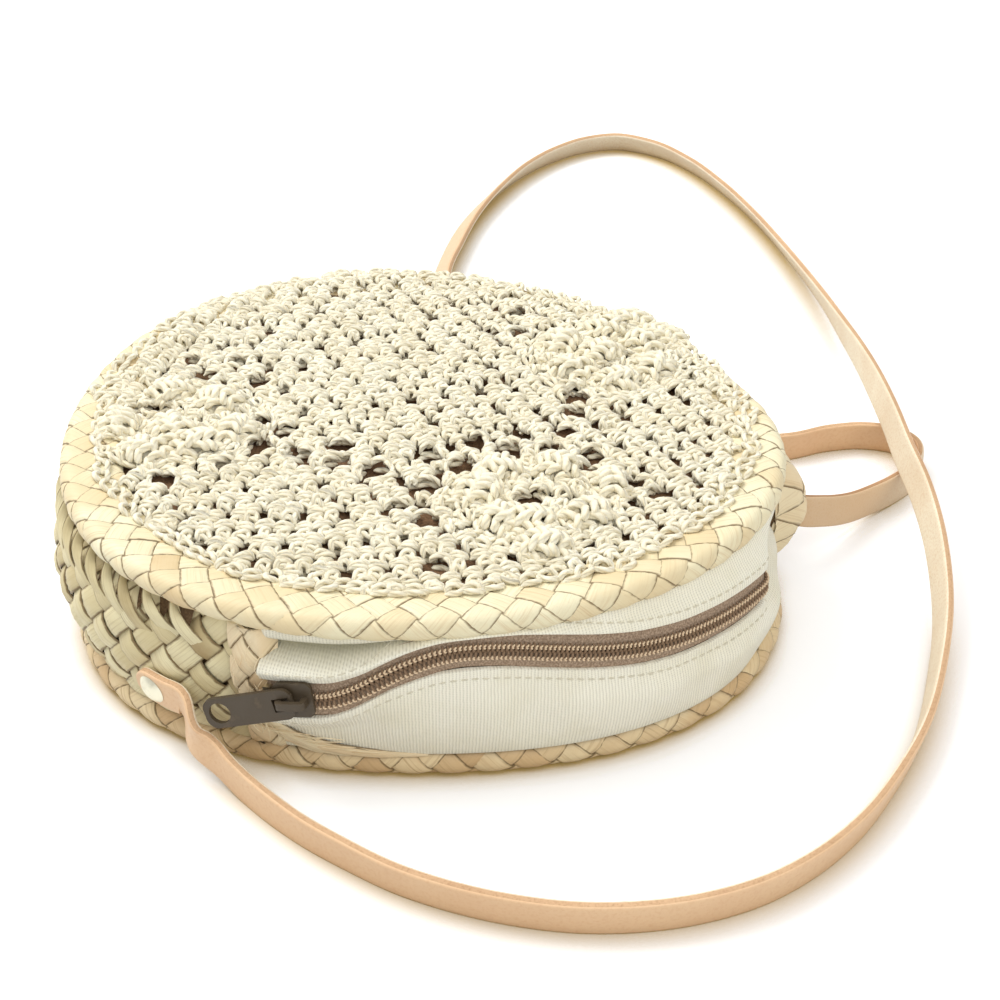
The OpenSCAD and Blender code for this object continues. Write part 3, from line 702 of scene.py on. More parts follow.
def crochet_rows():
    """The crochet's stitches, as a left and a right piece."""
    pattern = stitch_paths()
    halves = {-1: ([], []), 1: ([], [])}
    for x, y, ux, uy in stitch_places():
        if math.hypot(x, y) > panel_reach(x, y) - 2.6:
            continue
        tilt = rng.normal(-0.10, 0.14)
        up = np.array([ux, uy]) * math.cos(tilt) + np.array([-uy, ux]) * math.sin(tilt)
        along = np.array([up[1], -up[0]])
        local = pattern.copy()
        local[:4, :, 0] *= 1 + rng.normal(0, 0.10)
        local[..., 1] = (local[..., 1] - ROW_H / 2) * (1 + rng.normal(0, 0.06))
        local[..., 2] *= 1 + rng.normal(0, 0.14)
        middle = np.array([x, y]) + rng.normal(0, 0.3, 2)
        flat = middle + local[..., :1] * along + local[..., 1:2] * up
        paths, strands = halves[1 if x > 0 else -1]
        paths.append(settle(flat, local[..., 2]))
        strands.append(np.full(len(pattern), rng.random()))
    for side, name in ((-1, "crochet_rows_left"), (1, "crochet_rows_right")):
        bundle = Bundle()
        paths, strands = halves[side]
        yarn(bundle, np.concatenate(paths), 0.22, sides=7, strand=np.concatenate(strands))
        cotton(bundle, name)


def crochet_motifs():
    bundle = Bundle()
    for x, y in PUFFS:
        mx, my = min(MOTIFS, key=lambda m: math.hypot(x - m[0], y - m[1]))
        facing = math.atan2(y - my, x - mx) + rng.normal(0, 0.15)
        puff(bundle, x, y, facing, PUFF_LENGTH + rng.normal(0, 0.6), PUFF_WIDTH + rng.normal(0, 0.8))
    cotton(bundle, "crochet_motifs")


def knots(bundle, places, facing, size):
    """Small closing loops, each a V of two strands, that face one way."""
    a = np.linspace(0, 1, 9)
    arch = np.sin(np.pi * a)
    shape = np.stack([
        spread(-2.6 + 5.4 * a, 0.2 + 1.7 * arch + 0.5 * a, 0.4 + 2.0 * arch ** 0.6),
        spread(-2.4 + 5.2 * a, -0.4 - 1.1 * arch + 0.5 * a, 0.3 + 2.2 * arch ** 0.6)]) * size
    paths = []
    for (x, y, z), angle in zip(places, facing):
        out, side = headings(angle)
        flat = np.array([x, y]) + shape[..., :1] * side + shape[..., 1:2] * out
        paths.append(settle(flat, shape[..., 2] + z))
    yarn(bundle, np.concatenate(paths), 0.2)


def puff(bundle, x, y, facing, length, width):
    """A bobble: a low cushion covered with rows of thick short strands that lean to and fro."""
    centre = np.array([x, y])
    out, side = headings(facing)
    grid = np.linspace(-1, 1, 13)
    u, v = np.meshgrid(grid, grid, indexing="ij")
    u, v = u * np.sqrt(1 - v ** 2 / 2), v * np.sqrt(1 - u ** 2 / 2)
    dome = np.sqrt(np.maximum(1 - u ** 2 - v ** 2, 0))
    flat = centre + (u * length * 0.36)[..., None] * out + (v * width * 0.36)[..., None] * side
    bundle.add(settle(flat, (PUFF_RISE - 2.2) * dome), grid_quads(13, 13))
    a = np.linspace(-0.5, 0.5, 9)
    arch = np.cos(np.pi * a)
    paths, shade = [], []
    for i, u0 in enumerate(np.linspace(-0.76, 0.76, 4)):
        half = math.sqrt(1 - 0.8 * u0 ** 2)
        for v0 in np.linspace(-0.84, 0.84, max(round(width * half / 2.6), 3)) * half:
            lean = (0.7 if i % 2 else -0.7) + rng.normal(0, 0.15)
            run = 6.2 * (1 + rng.normal(0, 0.08))
            top = math.sqrt(max(1 - 0.9 * (u0 ** 2 + v0 ** 2), 0.04))
            place = centre + u0 * length / 2 * out + v0 * width / 2 * side + rng.normal(0, 0.2, 2)
            way = out * math.cos(lean) + side * math.sin(lean)
            height = (PUFF_RISE - 1.4) * top + 1.9 * arch - 0.6
            paths.append(settle(place + (a * run)[:, None] * way, height))
            # Strands low on the bobble get a darker tone: painted shade
            shade.append(1.25 - top)
    yarn(bundle, paths, 0.15, radius=THICK_YARN_R, strand=shade)
    places, ways = [], []
    for around in np.arange(0, 2 * np.pi, 0.7) + rng.random():
        u0, v0 = math.cos(around) * length * 0.52, math.sin(around) * width * 0.52
        places.append((*(centre + u0 * out + v0 * side), 0.5))
        ways.append(facing + around + rng.normal(0, 0.3))
    knots(bundle, places, ways, 0.9)


def crochet_border():
    """The crochet's last round of loops, which lies on the rim's inner edge."""
    bundle = Bundle()
    az = np.arange(0, 360, 3.1)
    az += rng.normal(0, 0.25, len(az))
    places, ways = [], []
    for a in np.radians(az):
        c, s = math.cos(a), math.sin(a)
        r = panel_reach(c, s) - 2.0 + rng.normal(0, 1.0)
        places.append((r * c, r * s, 0.5 + rng.normal(0, 0.3)))
        ways.append(a + rng.normal(0, 0.5))
    knots(bundle, places, ways, 1.15)
    cotton(bundle, "crochet_border")


# Plaited pieces

HOOKS_FROM = 151.0
HOOKS_TO = 238.0
HOOK_STEP = 4.9
UNDERCUT = 3.4
SHADE_BAND_INSET = 0.8
SHADE_SHEET_DEPTH = 2.6
LINING_DEPTH = 3.4
PLAIT_Z0 = WALL_Z0 - 0.5
PLAIT_H = WALL_Z1 - WALL_Z0 + 1.0
BINDING_LAP = 1.2
FRAYS = 26
LOOSE_FIBRES = 14

# Raffia strips at the lower left corner: azimuths from and to, height, width
LACINGS = [(-113.5, -103.5, 25.0, 4.6), (-112.0, -99.5, 20.5, 4.4), (-110.5, -95.5, 16.5, 4.2),
           (-109.0, -91.5, 13.5, 3.6), (-106.0, -87.5, 11.5, 3.0)]


def rim(name, straw, cad, profile, shape, shift, sink, **weave):
    """A plaited band that follows a profile, points of (offset from the outline, height), round
    the bag, over a plain dark band of painted shade that shows only in its gaps."""
    bundle = Bundle()
    around = 2 * np.pi * BAG_R
    profile = np.array(profile)
    run = run_along(profile)

    def on_profile(t):
        return np.interp(t, run, profile[:, 0]), np.interp(t, run, profile[:, 1])

    def surface(s, t, h):
        az = s / around * 360.0
        dr, z = on_profile(t)
        near = on_profile(np.clip(t - 0.4, 0, run[-1]))
        far = on_profile(np.clip(t + 0.4, 0, run[-1]))
        tr, tz = far[0] - near[0], far[1] - near[1]
        size = np.hypot(tr, tz)
        points = at(az, outline(az, shape) + dr + h * tz / size, z - h * tr / size, shift)
        points[..., 2] = np.maximum(points[..., 2] - sink * back_share(az), 0.1)
        return points

    plait(bundle, surface, around, run[-1], lean=45, closed=True, **weave)
    az = np.linspace(0, 360, 180, endpoint=False)
    slope = np.gradient(profile, axis=0)
    size = np.linalg.norm(slope, axis=1, keepdims=True)
    inner = profile + spread(-slope[:, 1], slope[:, 0]) / size * SHADE_BAND_INSET
    r = outline(az, shape)[:, None] + inner[:, 0]
    z = inner[:, 1] - sink * back_share(az)[:, None]
    bundle.add(at(az[:, None], r, z, shift), grid_quads(180, len(profile), wrap_rows=True), zone=1)
    bundle.piece(name, [straw, GAP], "straw", replaces=[cad])


def arc_profile(middle, radius, start, end):
    a = np.radians(np.linspace(start, end, 16))
    return [(middle[0] + radius * math.cos(v), middle[1] + radius * math.sin(v)) for v in a]


def rims():
    roll = arc_profile((-TOP_ROLL_D / 2, BAG_H - TOP_ROLL_D / 2), TOP_ROLL_D / 2 - 0.5, -125, 88)
    profile = roll + [(-8.0, 57.1), (-12.0, 56.5), (-17.5, 55.6), (-18.6, 54.6)]
    rim("top_rim_plait", STRAW, "top_rim_braid", profile, TOP_SHAPE, 0.0, RIM_SINK,
        pitch=8.2, lift=0.30, crown=0.22, fill=1.0, waver=0.03, seed=3)
    roll = arc_profile((-BOTTOM_ROLL_D / 2, BOTTOM_ROLL_D / 2), BOTTOM_ROLL_D / 2 - 0.6, -90, 115)
    profile = [(-17.5, 0.9), (-12.0, 0.8)] + roll
    rim("bottom_rim_plait", STRAW_BROWN, "bottom_rim_braid", profile, BOTTOM_SHAPE, BOTTOM_SHIFT, 0.0,
        pitch=8.4, lift=0.36, crown=0.3, fill=0.98, seed=5)


def ribbon(bundle, line, widths, outward):
    """A flat strip along a line of points, with its width along the surface."""
    side = unit(np.cross(outward, unit(np.gradient(line, axis=0))))
    across = np.array([-1, -0.9, -0.4, 0.4, 0.9, 1.0])
    crown = np.array([-0.30, 0.0, 0.22, 0.22, 0.0, -0.30])
    rings = (line[:, None] + side[:, None] * (across * widths[:, None] / 2)[..., None]
             + outward[:, None] * crown[:, None])
    fibre = spread(across * 4.0, np.arange(len(line))[:, None] * 1.4, rng.random())
    bundle.add(rings, grid_quads(len(line), 6), fibre)


def wall_outward(az):
    return spread(np.cos(turn(az)), np.sin(turn(az)), 0.0)


def undercut(az, z):
    """How far the wall draws in under the rim on its left side."""
    share = step(np.minimum(az - HOOKS_FROM, HOOKS_TO + 4 - az), 0, 14)
    return UNDERCUT * share * step(z, 42.5, 48.5)


def inside_wall(low, high, rows, depth):
    """Points of a sheet inside the palm wall, at a depth under its surface."""
    az = np.linspace(GUSSET_TO, GUSSET_TO + WALL_SPAN, 160)[:, None]
    z = np.linspace(low, high, rows)[None]
    return wall_point(az, z, -depth - undercut(az, z))


def strip_ends(bundle):
    """Strips of the wall that turn on edge where they go under the rim."""
    a = np.linspace(0, 1, 12)
    for start in np.arange(HOOKS_FROM, HOOKS_TO, HOOK_STEP):
        az = start + rng.normal(0, 0.4) + 5.4 * a ** 1.3
        z = WALL_Z1 + 1.4 - (13.5 + rng.normal(0, 0.8)) * a
        twist = np.radians(75) * (1 - step(a, 0.1, 0.85))[:, None]
        outward = wall_outward(az) * np.cos(twist) + wall_outward(az + 90) * np.sin(twist)
        line = wall_point(az, z, 0.2 + 1.5 * np.sin(np.pi * a ** 0.7) - 1.2 * a ** 3)
        ribbon(bundle, line, 2.6 + 3.6 * a ** 1.5, outward)
        # Beside each strip end, a dark patch on the drawn-in wall: painted shade in the gap under the rim
        down, over = np.meshgrid(np.linspace(0, 1, 7), np.linspace(0, 1, 5), indexing="ij")
        az = start + 0.7 + 3.0 * down + over * (1 - down) * 4.0
        z = WALL_Z1 + 0.4 - 7.0 * down
        bundle.add(wall_point(az, z, 0.75 - undercut(az, z)), grid_quads(7, 5), zone=1)


def palm_wall():
    bundle = Bundle()
    length = math.radians(WALL_SPAN) * BAG_R

    def surface(s, t, h):
        az = GUSSET_TO + s / length * WALL_SPAN
        z = PLAIT_Z0 + t
        return wall_point(az, z, h - 1.0 - undercut(az, z))

    plait(bundle, surface, length, PLAIT_H, pitch=9.2, lean=45, lift=1.0, crown=0.5, fill=0.88,
          waver=0.09, seed=7)
    # A dark sheet under the plait: painted shade in its gaps
    shade_sheet = inside_wall(PLAIT_Z0, WALL_Z1 + 0.5, 14, SHADE_SHEET_DEPTH)
    bundle.add(shade_sheet, grid_quads(160, 14), zone=1)
    strip_ends(bundle)
    bundle.piece("palm_wall_plait", [STRAW_GREEN, GAP], "straw", replaces=["palm_wall"])


def fray(bundle, line, radius):
    tubes(bundle, line[None], radius, sides=5, girth=0.1)


def binding(name, from_az, toward, node_name, seed):
    """A plait of broad strips round the wall's end, turned in on the side toward the canvas."""
    bundle = Bundle()
    span = BINDING_SPAN + 2 * BINDING_LAP
    arc = math.radians(span) * BAG_R

    def surface(s, t, h):
        share = t / arc
        edge = share if toward < 0 else 1 - share
        turned_in = (3.2 if toward > 0 else 6.5) * step(0.3 - edge, 0.0, 0.3)
        az = from_az - BINDING_LAP + share * span
        return wall_point(az, PLAIT_Z0 + s, h + 1.2 * (1 - (2 * share - 1) ** 2) - turned_in)

    plait(bundle, surface, PLAIT_H, arc, pitch=8.0, lean=38, lift=0.7, crown=0.4, fill=0.97, seed=seed)
    # A dark sheet under the plait: painted shade in its gaps
    s = np.linspace(0, PLAIT_H, 14)
    t = np.linspace(0, arc, 10)
    bundle.add(surface(s[:, None], np.broadcast_to(t[None], (14, 10)), -1.2), grid_quads(14, 10), zone=1)
    # Frayed fibres of raffia along the plait
    a = np.linspace(0, 1, 8)
    for _ in range(FRAYS if toward > 0 else 0):
        s0, t0 = rng.uniform(2, PLAIT_H - 10), rng.uniform(0.2, 0.8) * arc
        s = s0 + a * rng.uniform(4, 9)
        across = t0 + 1.6 * np.sin(a * rng.uniform(1, 4)) * rng.choice([-1, 1])
        fray(bundle, surface(s, np.clip(across, 0.3, arc - 0.3), 1.3 + 1.1 * np.sin(np.pi * a)), 0.13)
    bundle.piece(name, [RAFFIA, GAP], "straw", replaces=[node_name])


def corner_raffia():
    """Raffia laced over the canvas's lower left corner, which it rounds off."""
    bundle = Bundle()
    a = np.linspace(0, 1, 14)
    for k, (az0, az1, top, width) in enumerate(LACINGS):
        az = az0 + (az1 - az0) * a ** 0.85
        z = 8.2 + (top - 8.2) * (1 - a) ** 1.7
        line = wall_point(az, z, 1.2 + 0.5 * np.sin(np.pi * a) + 0.35 * (k % 2))
        ribbon(bundle, line, width * (1 - 0.55 * a ** 2), wall_outward(az))
    for _ in range(LOOSE_FIBRES):
        start = rng.uniform(-113, -96)
        az = start + rng.uniform(3, 8) * a
        low = 9.5 + 9.0 * max(0.0, 1 - (start + 113) / 14.0)
        z = low + rng.uniform(-1.5, 2.0) * np.sin(a * 3.0) + rng.uniform(-2, 1) * a
        fray(bundle, wall_point(az, z, 2.2 + 0.8 * np.sin(np.pi * a)), 0.14)
    bundle.piece("corner_raffia", [RAFFIA], "straw", replaces=["end_binding_left"])


def back_panel():
    bundle = Bundle()
    pitch, reach = 9.6, BAG_R - 17.0
    noise = np.random.default_rng(13)
    across = np.array([-1, -0.9, 0, 0.9, 1.0]) * pitch * 0.47
    diagonal = math.cos(math.pi / 4)
    for sense in (0, 1):
        for k in range(int(-reach / pitch), int(reach / pitch) + 1):
            offset = k * pitch
            chord = math.sqrt(max(reach ** 2 - offset ** 2, 16.0))
            v = np.arange(-chord, chord, pitch / 4)
            n = k + v / pitch + (2 if sense else 0)
            lift = 0.45 * np.clip(1.35 * np.sin(2 * np.pi * (n + 0.5) / 4), -1, 1)
            z = 1.2 - (lift[:, None] + np.array([-0.4, 0.1, 0.3, 0.1, -0.4]))
            x, y = (offset + across, v[:, None]) if sense else (v[:, None], offset + across)
            fibre = spread(across, v[:, None], noise.random())
            bundle.add(spread((x - y) * diagonal, (x + y) * diagonal, z), grid_quads(len(v), 5), fibre)
    bundle.piece("back_panel_plait", [STRAW_GREEN], "straw", replaces=["back_panel"])


def linings():
    """Brown cloth inside the wall, following the bag's real outline."""
    bundle = Bundle()
    inner = inside_wall(WALL_Z0, WALL_Z1 + 1.5, 12, LINING_DEPTH)
    bundle.add(inner, grid_quads(160, 12))
    wall = bundle.piece("wall_lining_cloth", [LINING], "lining", replaces=["wall_lining"])


# Gusset and zip

AZ_FROM = GUSSET_FROM + BINDING_SPAN - 0.5
AZ_TO = GUSSET_TO - BINDING_SPAN + 0.5
HEM = 2.6
HEM_STITCH = 3.0
CANVAS_TOP_Z = 51.2
CANVAS_FOOT_Z = 8.6
COIL_FROM = -102.3
COIL_R = 108.0
COIL_PITCH = 1.25
COIL_WIRE_R = 0.40
SEAM_DOT_R = 0.29
THREAD_R = 0.24


def canvas_relief(az, s, side):
    """Creases and ripples of the canvas, and how much painted shade darkens it, from the hem (s 0) to the
    rim.
    """
    if side > 0:
        # A crease runs along the tall left stretch and dies out as the zip climbs
        crease = step(-az, 78, 100)[:, None]
        relief = crease * (1.8 * bell(s, 0.20, 0.15) - 4.6 * bell(s, 0.55, 0.16))
        # Painted shade darkens the crease's fold
        return relief, 0.9 * crease * bell(s, 0.58, 0.19)
    ripple = (0.7 * np.sin(az * 0.21 + 0.6) + 0.45 * np.sin(az * 0.47))[:, None]
    pinch = hump(az, -103, 1.6)[:, None]
    relief = ripple * np.sin(np.pi * s) ** 1.2 - 1.2 * pinch * bell(s, 0.93, 0.06)
    # Painted shade darkens a narrow band at the foot, under the bottom rim
    return relief, 0.25 * np.exp(-(1 - s) / 0.05)


def hem_sewing(name, side, az, s, r, edge_z, tall):
    """Sewing along the canvas's hem."""
    sewing = Bundle()
    count = int((AZ_TO - AZ_FROM) * math.radians(1) * BAG_R / HEM_STITCH)
    middle = np.linspace(AZ_FROM + 1.5, AZ_TO - 1.5, count)
    t = np.linspace(-0.5, 0.5, 5)
    seam_az = middle[:, None] + t * 1.05
    seam_s = HEM / np.maximum(np.interp(seam_az, az, tall), 3.0)
    row = np.clip(np.searchsorted(az, seam_az), 0, len(az) - 1)
    seam_r = np.array([[np.interp(share, s[3:], r[i, 3:]) for share, i in zip(shares, rows)]
                       for shares, rows in zip(seam_s, row)])
    seam_z = np.interp(seam_az, az, edge_z) + side * HEM
    tubes(sewing, at(seam_az, seam_r + 0.12 * np.cos(np.pi * t), seam_z), THREAD_R, sides=6)
    return sewing.piece(name + "_sewing", [THREAD], "canvas")


def canvas_strip(side):
    """Canvas above (side 1) or below (side -1) the zip, from its hem to the rim."""
    bundle = Bundle()
    az = np.linspace(AZ_FROM, AZ_TO, 240)
    v = np.concatenate([[-0.06, -0.05, -0.02], np.linspace(0, 1, 34)])
    s = np.clip(v, 0, 1)
    edge = zip_point(az, side * zip_shown(az, side), 0.4)
    edge_z = edge[:, 2]
    end_z = np.maximum(CANVAS_TOP_Z, edge_z + 2.4) if side > 0 else np.full_like(az, CANVAS_FOOT_Z)
    z = edge_z[:, None] + (end_z - edge_z)[:, None] * s
    free = wall_point(az[:, None], z, 0.3 if side > 0 else 0.6)
    swell = 1 - (2 * (z - WALL_Z0) / (WALL_Z1 - WALL_Z0) - 1) ** 2
    r_free = (np.hypot(free[..., 0], free[..., 1])
              + swell * (2.6 * hump(az, -30, 14) - end_bulge(az))[:, None])
    r_edge = np.hypot(edge[:, 0], edge[:, 1])[:, None]
    tuck = step(s, 0.0, 0.45 if side < 0 else 0.6)
    relief, painted_shade = canvas_relief(az, s, side)
    hem = np.full(len(v), 0.45)
    hem[:2] = (-0.9, 0.0)
    r = r_edge * (1 - tuck) + r_free * tuck + relief + hem
    z = z + side * np.where(v < 0, (v + 0.06) * 6.0 - 0.3, 0.0)
    points = at(az[:, None], r, z)
    fibre = spread((turn(az) * BAG_R)[:, None], z, painted_shade)
    bundle.add(points, grid_quads(len(az), len(v)), fibre)
    half = "upper" if side > 0 else "lower"
    canvas = bundle.piece("canvas_" + half, [CANVAS], "canvas", replaces=["gusset_" + half])
    thread = hem_sewing("canvas_" + half, side, az, s, r, edge_z, np.abs(end_z - edge_z))


def zip_piece(bundle, name, materials, side):
    """Names the zip's piece: top in the scene where CAD says upper, bottom where it says lower."""
    cad = name + ("_upper" if side > 0 else "_lower")
    bundle.piece(name + ("_top" if side > 0 else "_bottom"), materials, name, replaces=[cad])


def turns_from(start):
    """Azimuths of the coil's turns from a start to the zip's end."""
    return np.linspace(start, AZ_TO, int((AZ_TO - start) * math.radians(1) * COIL_R / COIL_PITCH))


def zip_tape(side):
    bundle = Bundle()
    az = np.linspace(AZ_FROM, AZ_TO, 240)[:, None]
    share = np.linspace(0, 1, 14)
    shown = zip_shown(az, side)
    q = 0.35 + (shown + 0.3) * share
    behind = 1.6 * step(q - shown, -0.9, 0.5)
    points = zip_point(az, side * q, 0.25 * np.cos(q * 0.6) - behind)
    bundle.add(points, grid_quads(len(az), len(share)), spread(side * q, turn(az) * BAG_R, 0.0))
    # Light stitches that hold the coil on the tape, two slanted strands at each turn
    middle = turns_from(AZ_FROM)[:, None]
    a = np.linspace(0, 1, 5)
    for slant in (1, -1):
        q = side * (1.75 + slant * 0.62 * a)
        out = 1.30 + 0.22 * np.sin(np.pi * a) - 0.25 * a
        tubes(bundle, zip_point(middle + (a - 0.5) * 0.42, q, out), SEAM_DOT_R, sides=6, zone=1)
    zip_piece(bundle, "zip_tape", [TAPE, SEAM_DOTS], side)


def zip_coil(side):
    """Each turn of the coil is a bent loop across the zip's middle."""
    bundle = Bundle()
    middle = turns_from(COIL_FROM)[:, None] + (0.0 if side > 0 else 0.33)
    a = np.linspace(0, 1, 9)
    q = side * (2.6 - 3.0 * a)
    out = 0.30 + 0.95 * np.sin(np.pi * np.clip(a * 1.05, 0, 1)) ** 0.6
    tubes(bundle, zip_point(middle + 0.18 * a, q, out), COIL_WIRE_R, sides=7)
    zip_piece(bundle, "zip_coil", [COIL], side)


# Strap: the same route as in the part's source

STRAP_W = 11.0
STRAP_T = 2.5
CROSSING_GAP = 0.8
RIVET_Z = 21.0
RIVET_LEFT = -128.5
RIVET_RIGHT = 12.0
WALL_EDGE_R = 107.0
WALL_BULGE = 3.5
ROUTE_SHARES = [
    (-0.512, -0.909, 0.62, 0), (-0.457, -0.943, 0.24, 1), (-0.395, -1.003, 0.03, 1),
    (-0.313, -1.088, 0, 2), (-0.225, -1.168, 0, 5), (-0.12, -1.245, 0, 7), (0, -1.322, 0, 9),
    (0.13, -1.38, 0, 10), (0.27, -1.422, 0, 10), (0.42, -1.445, 0, 10),
    (0.565, -1.442, 0, 10), (0.712, -1.414, 0, 10), (0.85, -1.36, 0, 10),
    (0.976, -1.277, 0, 10), (1.107, -1.15, 0, 10), (1.217, -0.998, 0, 11),
    (1.326, -0.805, 0, 13), (1.417, -0.562, 0.08, 16), (1.484, -0.31, 0.31, 17),
    (1.512, -0.06, 0.75, 17), (1.518, 0.18, 0.97, 17), (1.511, 0.41, 1, 16),
    (1.51, 0.63, 1.02, 14), (1.506, 0.85, 0.96, 10), (1.504, 1.1, 0.72, 2),
    (1.493, 1.38, 0.42, -8), (1.463, 1.75, 0.18, -22), (1.405, 2.15, 0.03, -30),
    (1.328, 2.51, 0, -33), (1.228, 2.84, 0, -33), (1.108, 3.12, 0, -32),
    (0.96, 3.325, 0, -31), (0.79, 3.415, 0, -30), (0.63, 3.37, 0, -30), (0.487, 3.25, 0, -31),
    (0.352, 3.07, 0, -34), (0.235, 2.84, 0, -40), (0.13, 2.56, 0, -47), (0.055, 2.23, 0, -49),
    (0.015, 1.89, 0, -38), (0.06, 1.58, 0, -20), (0.21, 1.345, 0, -6), (0.44, 1.18, 0, 0),
    (0.66, 1.03, 0, 2), (0.85, 0.84, 0, 4), (0.965, 0.7, 0, 6), (1.07, 0.625, 0, 6),
    (1.19, 0.632, 0, 6), (1.33, 0.685, 0, 6), (1.45, 0.7, 0, 5), (1.545, 0.672, 0, 4),
    (1.597, 0.6, 0, 3), (1.592, 0.512, 0, 2), (1.545, 0.435, 0, 2), (1.475, 0.362, 0.02, 2),
    (1.39, 0.28, 0.15, 1), (1.3, 0.188, 0.42, 0), (1.21, 0.105, 0.82, 0),
    (1.13, 0.058, 1.12, 3), (1.058, 0.07, 1.19, 6)]
TIP_DEG = 3.2
HUG_DEG = 5.5
STRAP_STEPS = 9


def strap_route():
    mid_z, half_h = (WALL_Z0 + WALL_Z1) / 2, (WALL_Z1 - WALL_Z0) / 2
    wall = WALL_EDGE_R + WALL_BULGE * (1 - ((RIVET_Z - mid_z) / half_h) ** 2)
    lean = math.atan(-2 * WALL_BULGE * (RIVET_Z - mid_z) / half_h ** 2)
    out = 0.24 + STRAP_T / 2
    r, z = wall + out * math.cos(lean), RIVET_Z - out * math.sin(lean)

    def on_wall(az):
        return (r * math.cos(math.radians(az)), r * math.sin(math.radians(az)), z, math.degrees(lean))

    route = [on_wall(RIVET_LEFT - k) for k in (TIP_DEG, 0, -HUG_DEG / 2, -HUG_DEG)]
    for x, y, rise, tilt in ROUTE_SHARES:
        q = math.radians(tilt)
        height = (rise * (STRAP_W + CROSSING_GAP) + STRAP_W / 2 * math.cos(q)
                  + STRAP_T / 2 * abs(math.sin(q)))
        route.append((x * BAG_R, y * BAG_R, height, tilt))
    route += [on_wall(RIVET_RIGHT + k) for k in (-HUG_DEG, -HUG_DEG / 2, 0, TIP_DEG)]
    return np.array(route)


def strap_line():
    """A smooth line through the route's points."""
    p = strap_route()
    steps = np.diff(p, axis=0)
    gaps = np.linalg.norm(steps[:, :3], axis=1)[:, None]
    inner = (steps[:-1] * gaps[1:] / gaps[:-1]
             + steps[1:] * gaps[:-1] / gaps[1:]) / (gaps[:-1] + gaps[1:])
    slopes = np.vstack([steps[0] / gaps[0], inner, steps[-1] / gaps[-1]])
    t = np.linspace(0, 1, STRAP_STEPS, endpoint=False)[:, None]
    reach = gaps[:, None]
    line = (p[:-1, None] * (2 * t ** 3 - 3 * t ** 2 + 1)
            + slopes[:-1, None] * reach * (t ** 3 - 2 * t ** 2 + t)
            + p[1:, None] * (3 * t ** 2 - 2 * t ** 3)
            + slopes[1:, None] * reach * (t ** 3 - t ** 2))
    return np.vstack([line.reshape(-1, 4), p[-1:]])


def strap():
    bundle = Bundle()
    line = strap_line()
    place = line[:, :3]
    along = unit(np.gradient(place, axis=0))
    side = unit(np.cross(along, [0, 0, 1.0]))
    up = np.cross(side, along)
    lean = np.radians(line[:, 3])[:, None]
    wide = up * np.cos(lean) + side * np.sin(lean)
    thick = side * np.cos(lean) - up * np.sin(lean)
    w, t = STRAP_W / 2, STRAP_T / 2
    reach = np.linalg.norm([place - place[0], place - place[-1]], axis=2).min(0)
    tip = np.sqrt(1 - (1 - np.minimum(reach / w + 0.04, 1)) ** 2)[:, None]
    quarter = [(w, t * 0.55), (w - 0.25, t * 0.92), (w - 0.8, t), (w * 0.4, t)]
    outer = quarter + [(-a, b) for a, b in quarter[::-1]]
    section = outer + [(a, -b) for a, b in outer[::-1]]
    # Zones: 0 smooth outer face, 1 suede inner face, 2 cut edges
    zones = [0] * 7 + [2] + [1] * 7 + [2]
    rings = np.stack([place + wide * a * tip + thick * b for a, b in section], 1)
    rings[..., 2] = np.maximum(rings[..., 2], 0.05)
    run = run_along(place)
    # The last stretch before the right rivet is painted darker and browner: painted shade
    rivet_end_shade = 0.75 * step(run, run[-1] - 130, run[-1] - 60)
    fibre = spread([a for a, _ in section], run[:, None], rivet_end_shade[:, None])
    quads = grid_quads(len(rings), len(section), wrap_columns=True)
    bundle.add(rings, quads, fibre, np.tile(zones, len(rings) - 1))
    caps = np.array([[i, i + 1, 14 - i, 15 - i] for i in range(7)])
    for ring in (rings[0], rings[-1]):
        bundle.add(ring, caps, zone=2)
    leather = bundle.piece("leather_strap", [SMOOTH_LEATHER, SUEDE_LEATHER, EDGE_LEATHER], "leather",
                           replaces=["strap"])


# Scene

def dress_cad_nodes():
    looks = {
        LINING: ["front_lining", "back_lining"],
        DARK_METAL: ["zip_slider", "slider_crown", "pull_tab"],
        NICKEL: ["zip_top_stops", "zip_bottom_stop", "rivet_caps", "rivet_posts", "rivet_washers"]}
    for material, names in looks.items():
        for name in names:
            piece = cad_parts[name]
            piece.data.materials.clear()
            piece.data.materials.append(material)


def camera():
    data = bpy.data.cameras.new("camera")
    data.lens, data.sensor_width = LENS, SENSOR
    data.clip_start, data.clip_end = 0.01, 20.0
    holder = placed("camera", data)
    e = math.radians(CAMERA_ELEVATION)
    x, y, z = CAMERA_AIM
    holder.location = (x * MM, (y - CAMERA_RANGE * math.cos(e)) * MM, (z + CAMERA_RANGE * math.sin(e)) * MM)
    holder.rotation_euler = (math.radians(90) - e, 0, 0)
    bpy.context.scene.camera = holder


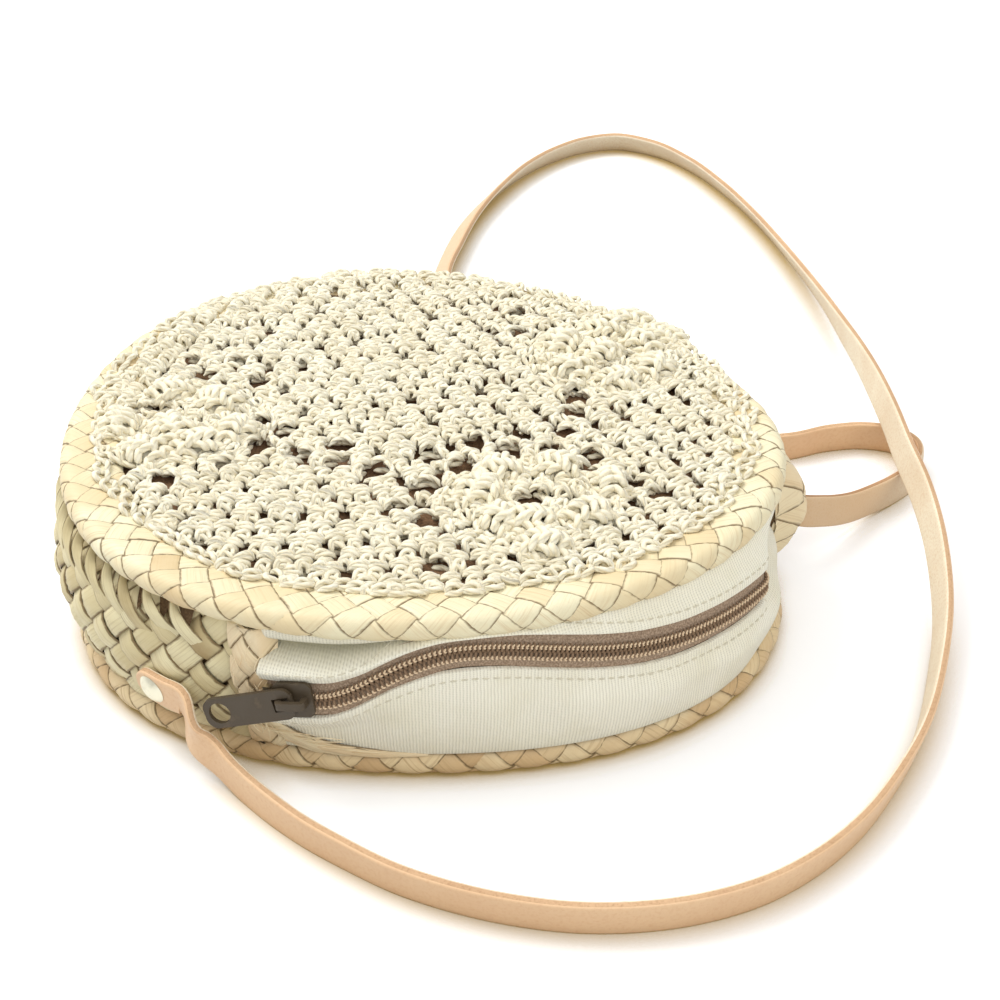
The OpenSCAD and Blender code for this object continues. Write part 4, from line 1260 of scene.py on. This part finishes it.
def floor():
    """A white ground that glows a little where it is seen directly, with a warm painted shadow near the
    bag.
    """
    mesh = bpy.data.meshes.new("floor")
    corners = [(x * FLOOR_REACH, y * FLOOR_REACH, 0) for x, y in ((-1, -1), (1, -1), (1, 1), (-1, 1))]
    mesh.from_pydata(corners, [], [(0, 1, 2, 3)])
    material, tree = new_material("floor")
    tree.nodes.clear()
    # Ambient occlusion turns the floor's colour and glow warm and dark near the bag: a painted contact
    # shadow
    near = node(tree, "AmbientOcclusion", {"Distance": 14 * MM}, samples=4)
    close = scaled(tree, near.outputs["AO"], 0.30, 0.80)
    matte = node(tree, "BsdfDiffuse", {"Color": mixed(tree, (0.42, 0.29, 0.09), (0.68, 0.68, 0.68), close)})
    ray = node(tree, "LightPath").outputs
    seen = maths(tree, "MAXIMUM", ray["Is Camera Ray"], ray["Is Glossy Ray"])
    seen = maths(tree, "MAXIMUM", seen, ray["Is Transmission Ray"])
    glow = node(tree, "Emission", {"Color": mixed(tree, (0.22, 0.16, 0.06), (1.0, 1.0, 1.0), close),
                                   "Strength": maths(tree, "MULTIPLY", seen, FLOOR_GLOW)})
    both = node(tree, "AddShader", {0: matte.outputs[0], 1: glow.outputs[0]})
    node(tree, "OutputMaterial", {"Surface": both.outputs[0]})
    mesh.materials.append(material)
    piece = placed("floor", mesh)


def lamp(name, energy, place, size):
    data = bpy.data.lights.new(name, "AREA")
    data.energy = energy
    data.size = size
    holder = placed(name, data)
    holder.location = place
    aim = -np.array(place)
    flat = math.hypot(aim[0], aim[1])
    holder.rotation_euler = (math.atan2(flat, -aim[2]), 0, math.atan2(aim[1], aim[0]) - math.pi / 2)


def lights():
    world = bpy.data.worlds.new("world")
    bpy.context.scene.world = world
    world.use_nodes = True
    background = world.node_tree.nodes["Background"]
    background.inputs["Color"].default_value = (1, 1, 1, 1)
    background.inputs["Strength"].default_value = SKY_STRENGTH
    for values in LAMPS:
        lamp(*values)


camera()
floor()
lights()
dress_cad_nodes()
crochet_rows()
crochet_motifs()
crochet_border()
rims()
palm_wall()
binding("binding_left", GUSSET_FROM, 1, "end_binding_left", 17)
binding("binding_right", GUSSET_TO - BINDING_SPAN, -1, "end_binding_right", 19)
corner_raffia()
back_panel()
linings()
for edge in (1, -1):
    canvas_strip(edge)
    zip_tape(edge)
    zip_coil(edge)
strap()

scene = bpy.context.scene
scene.view_settings.view_transform = "Standard"
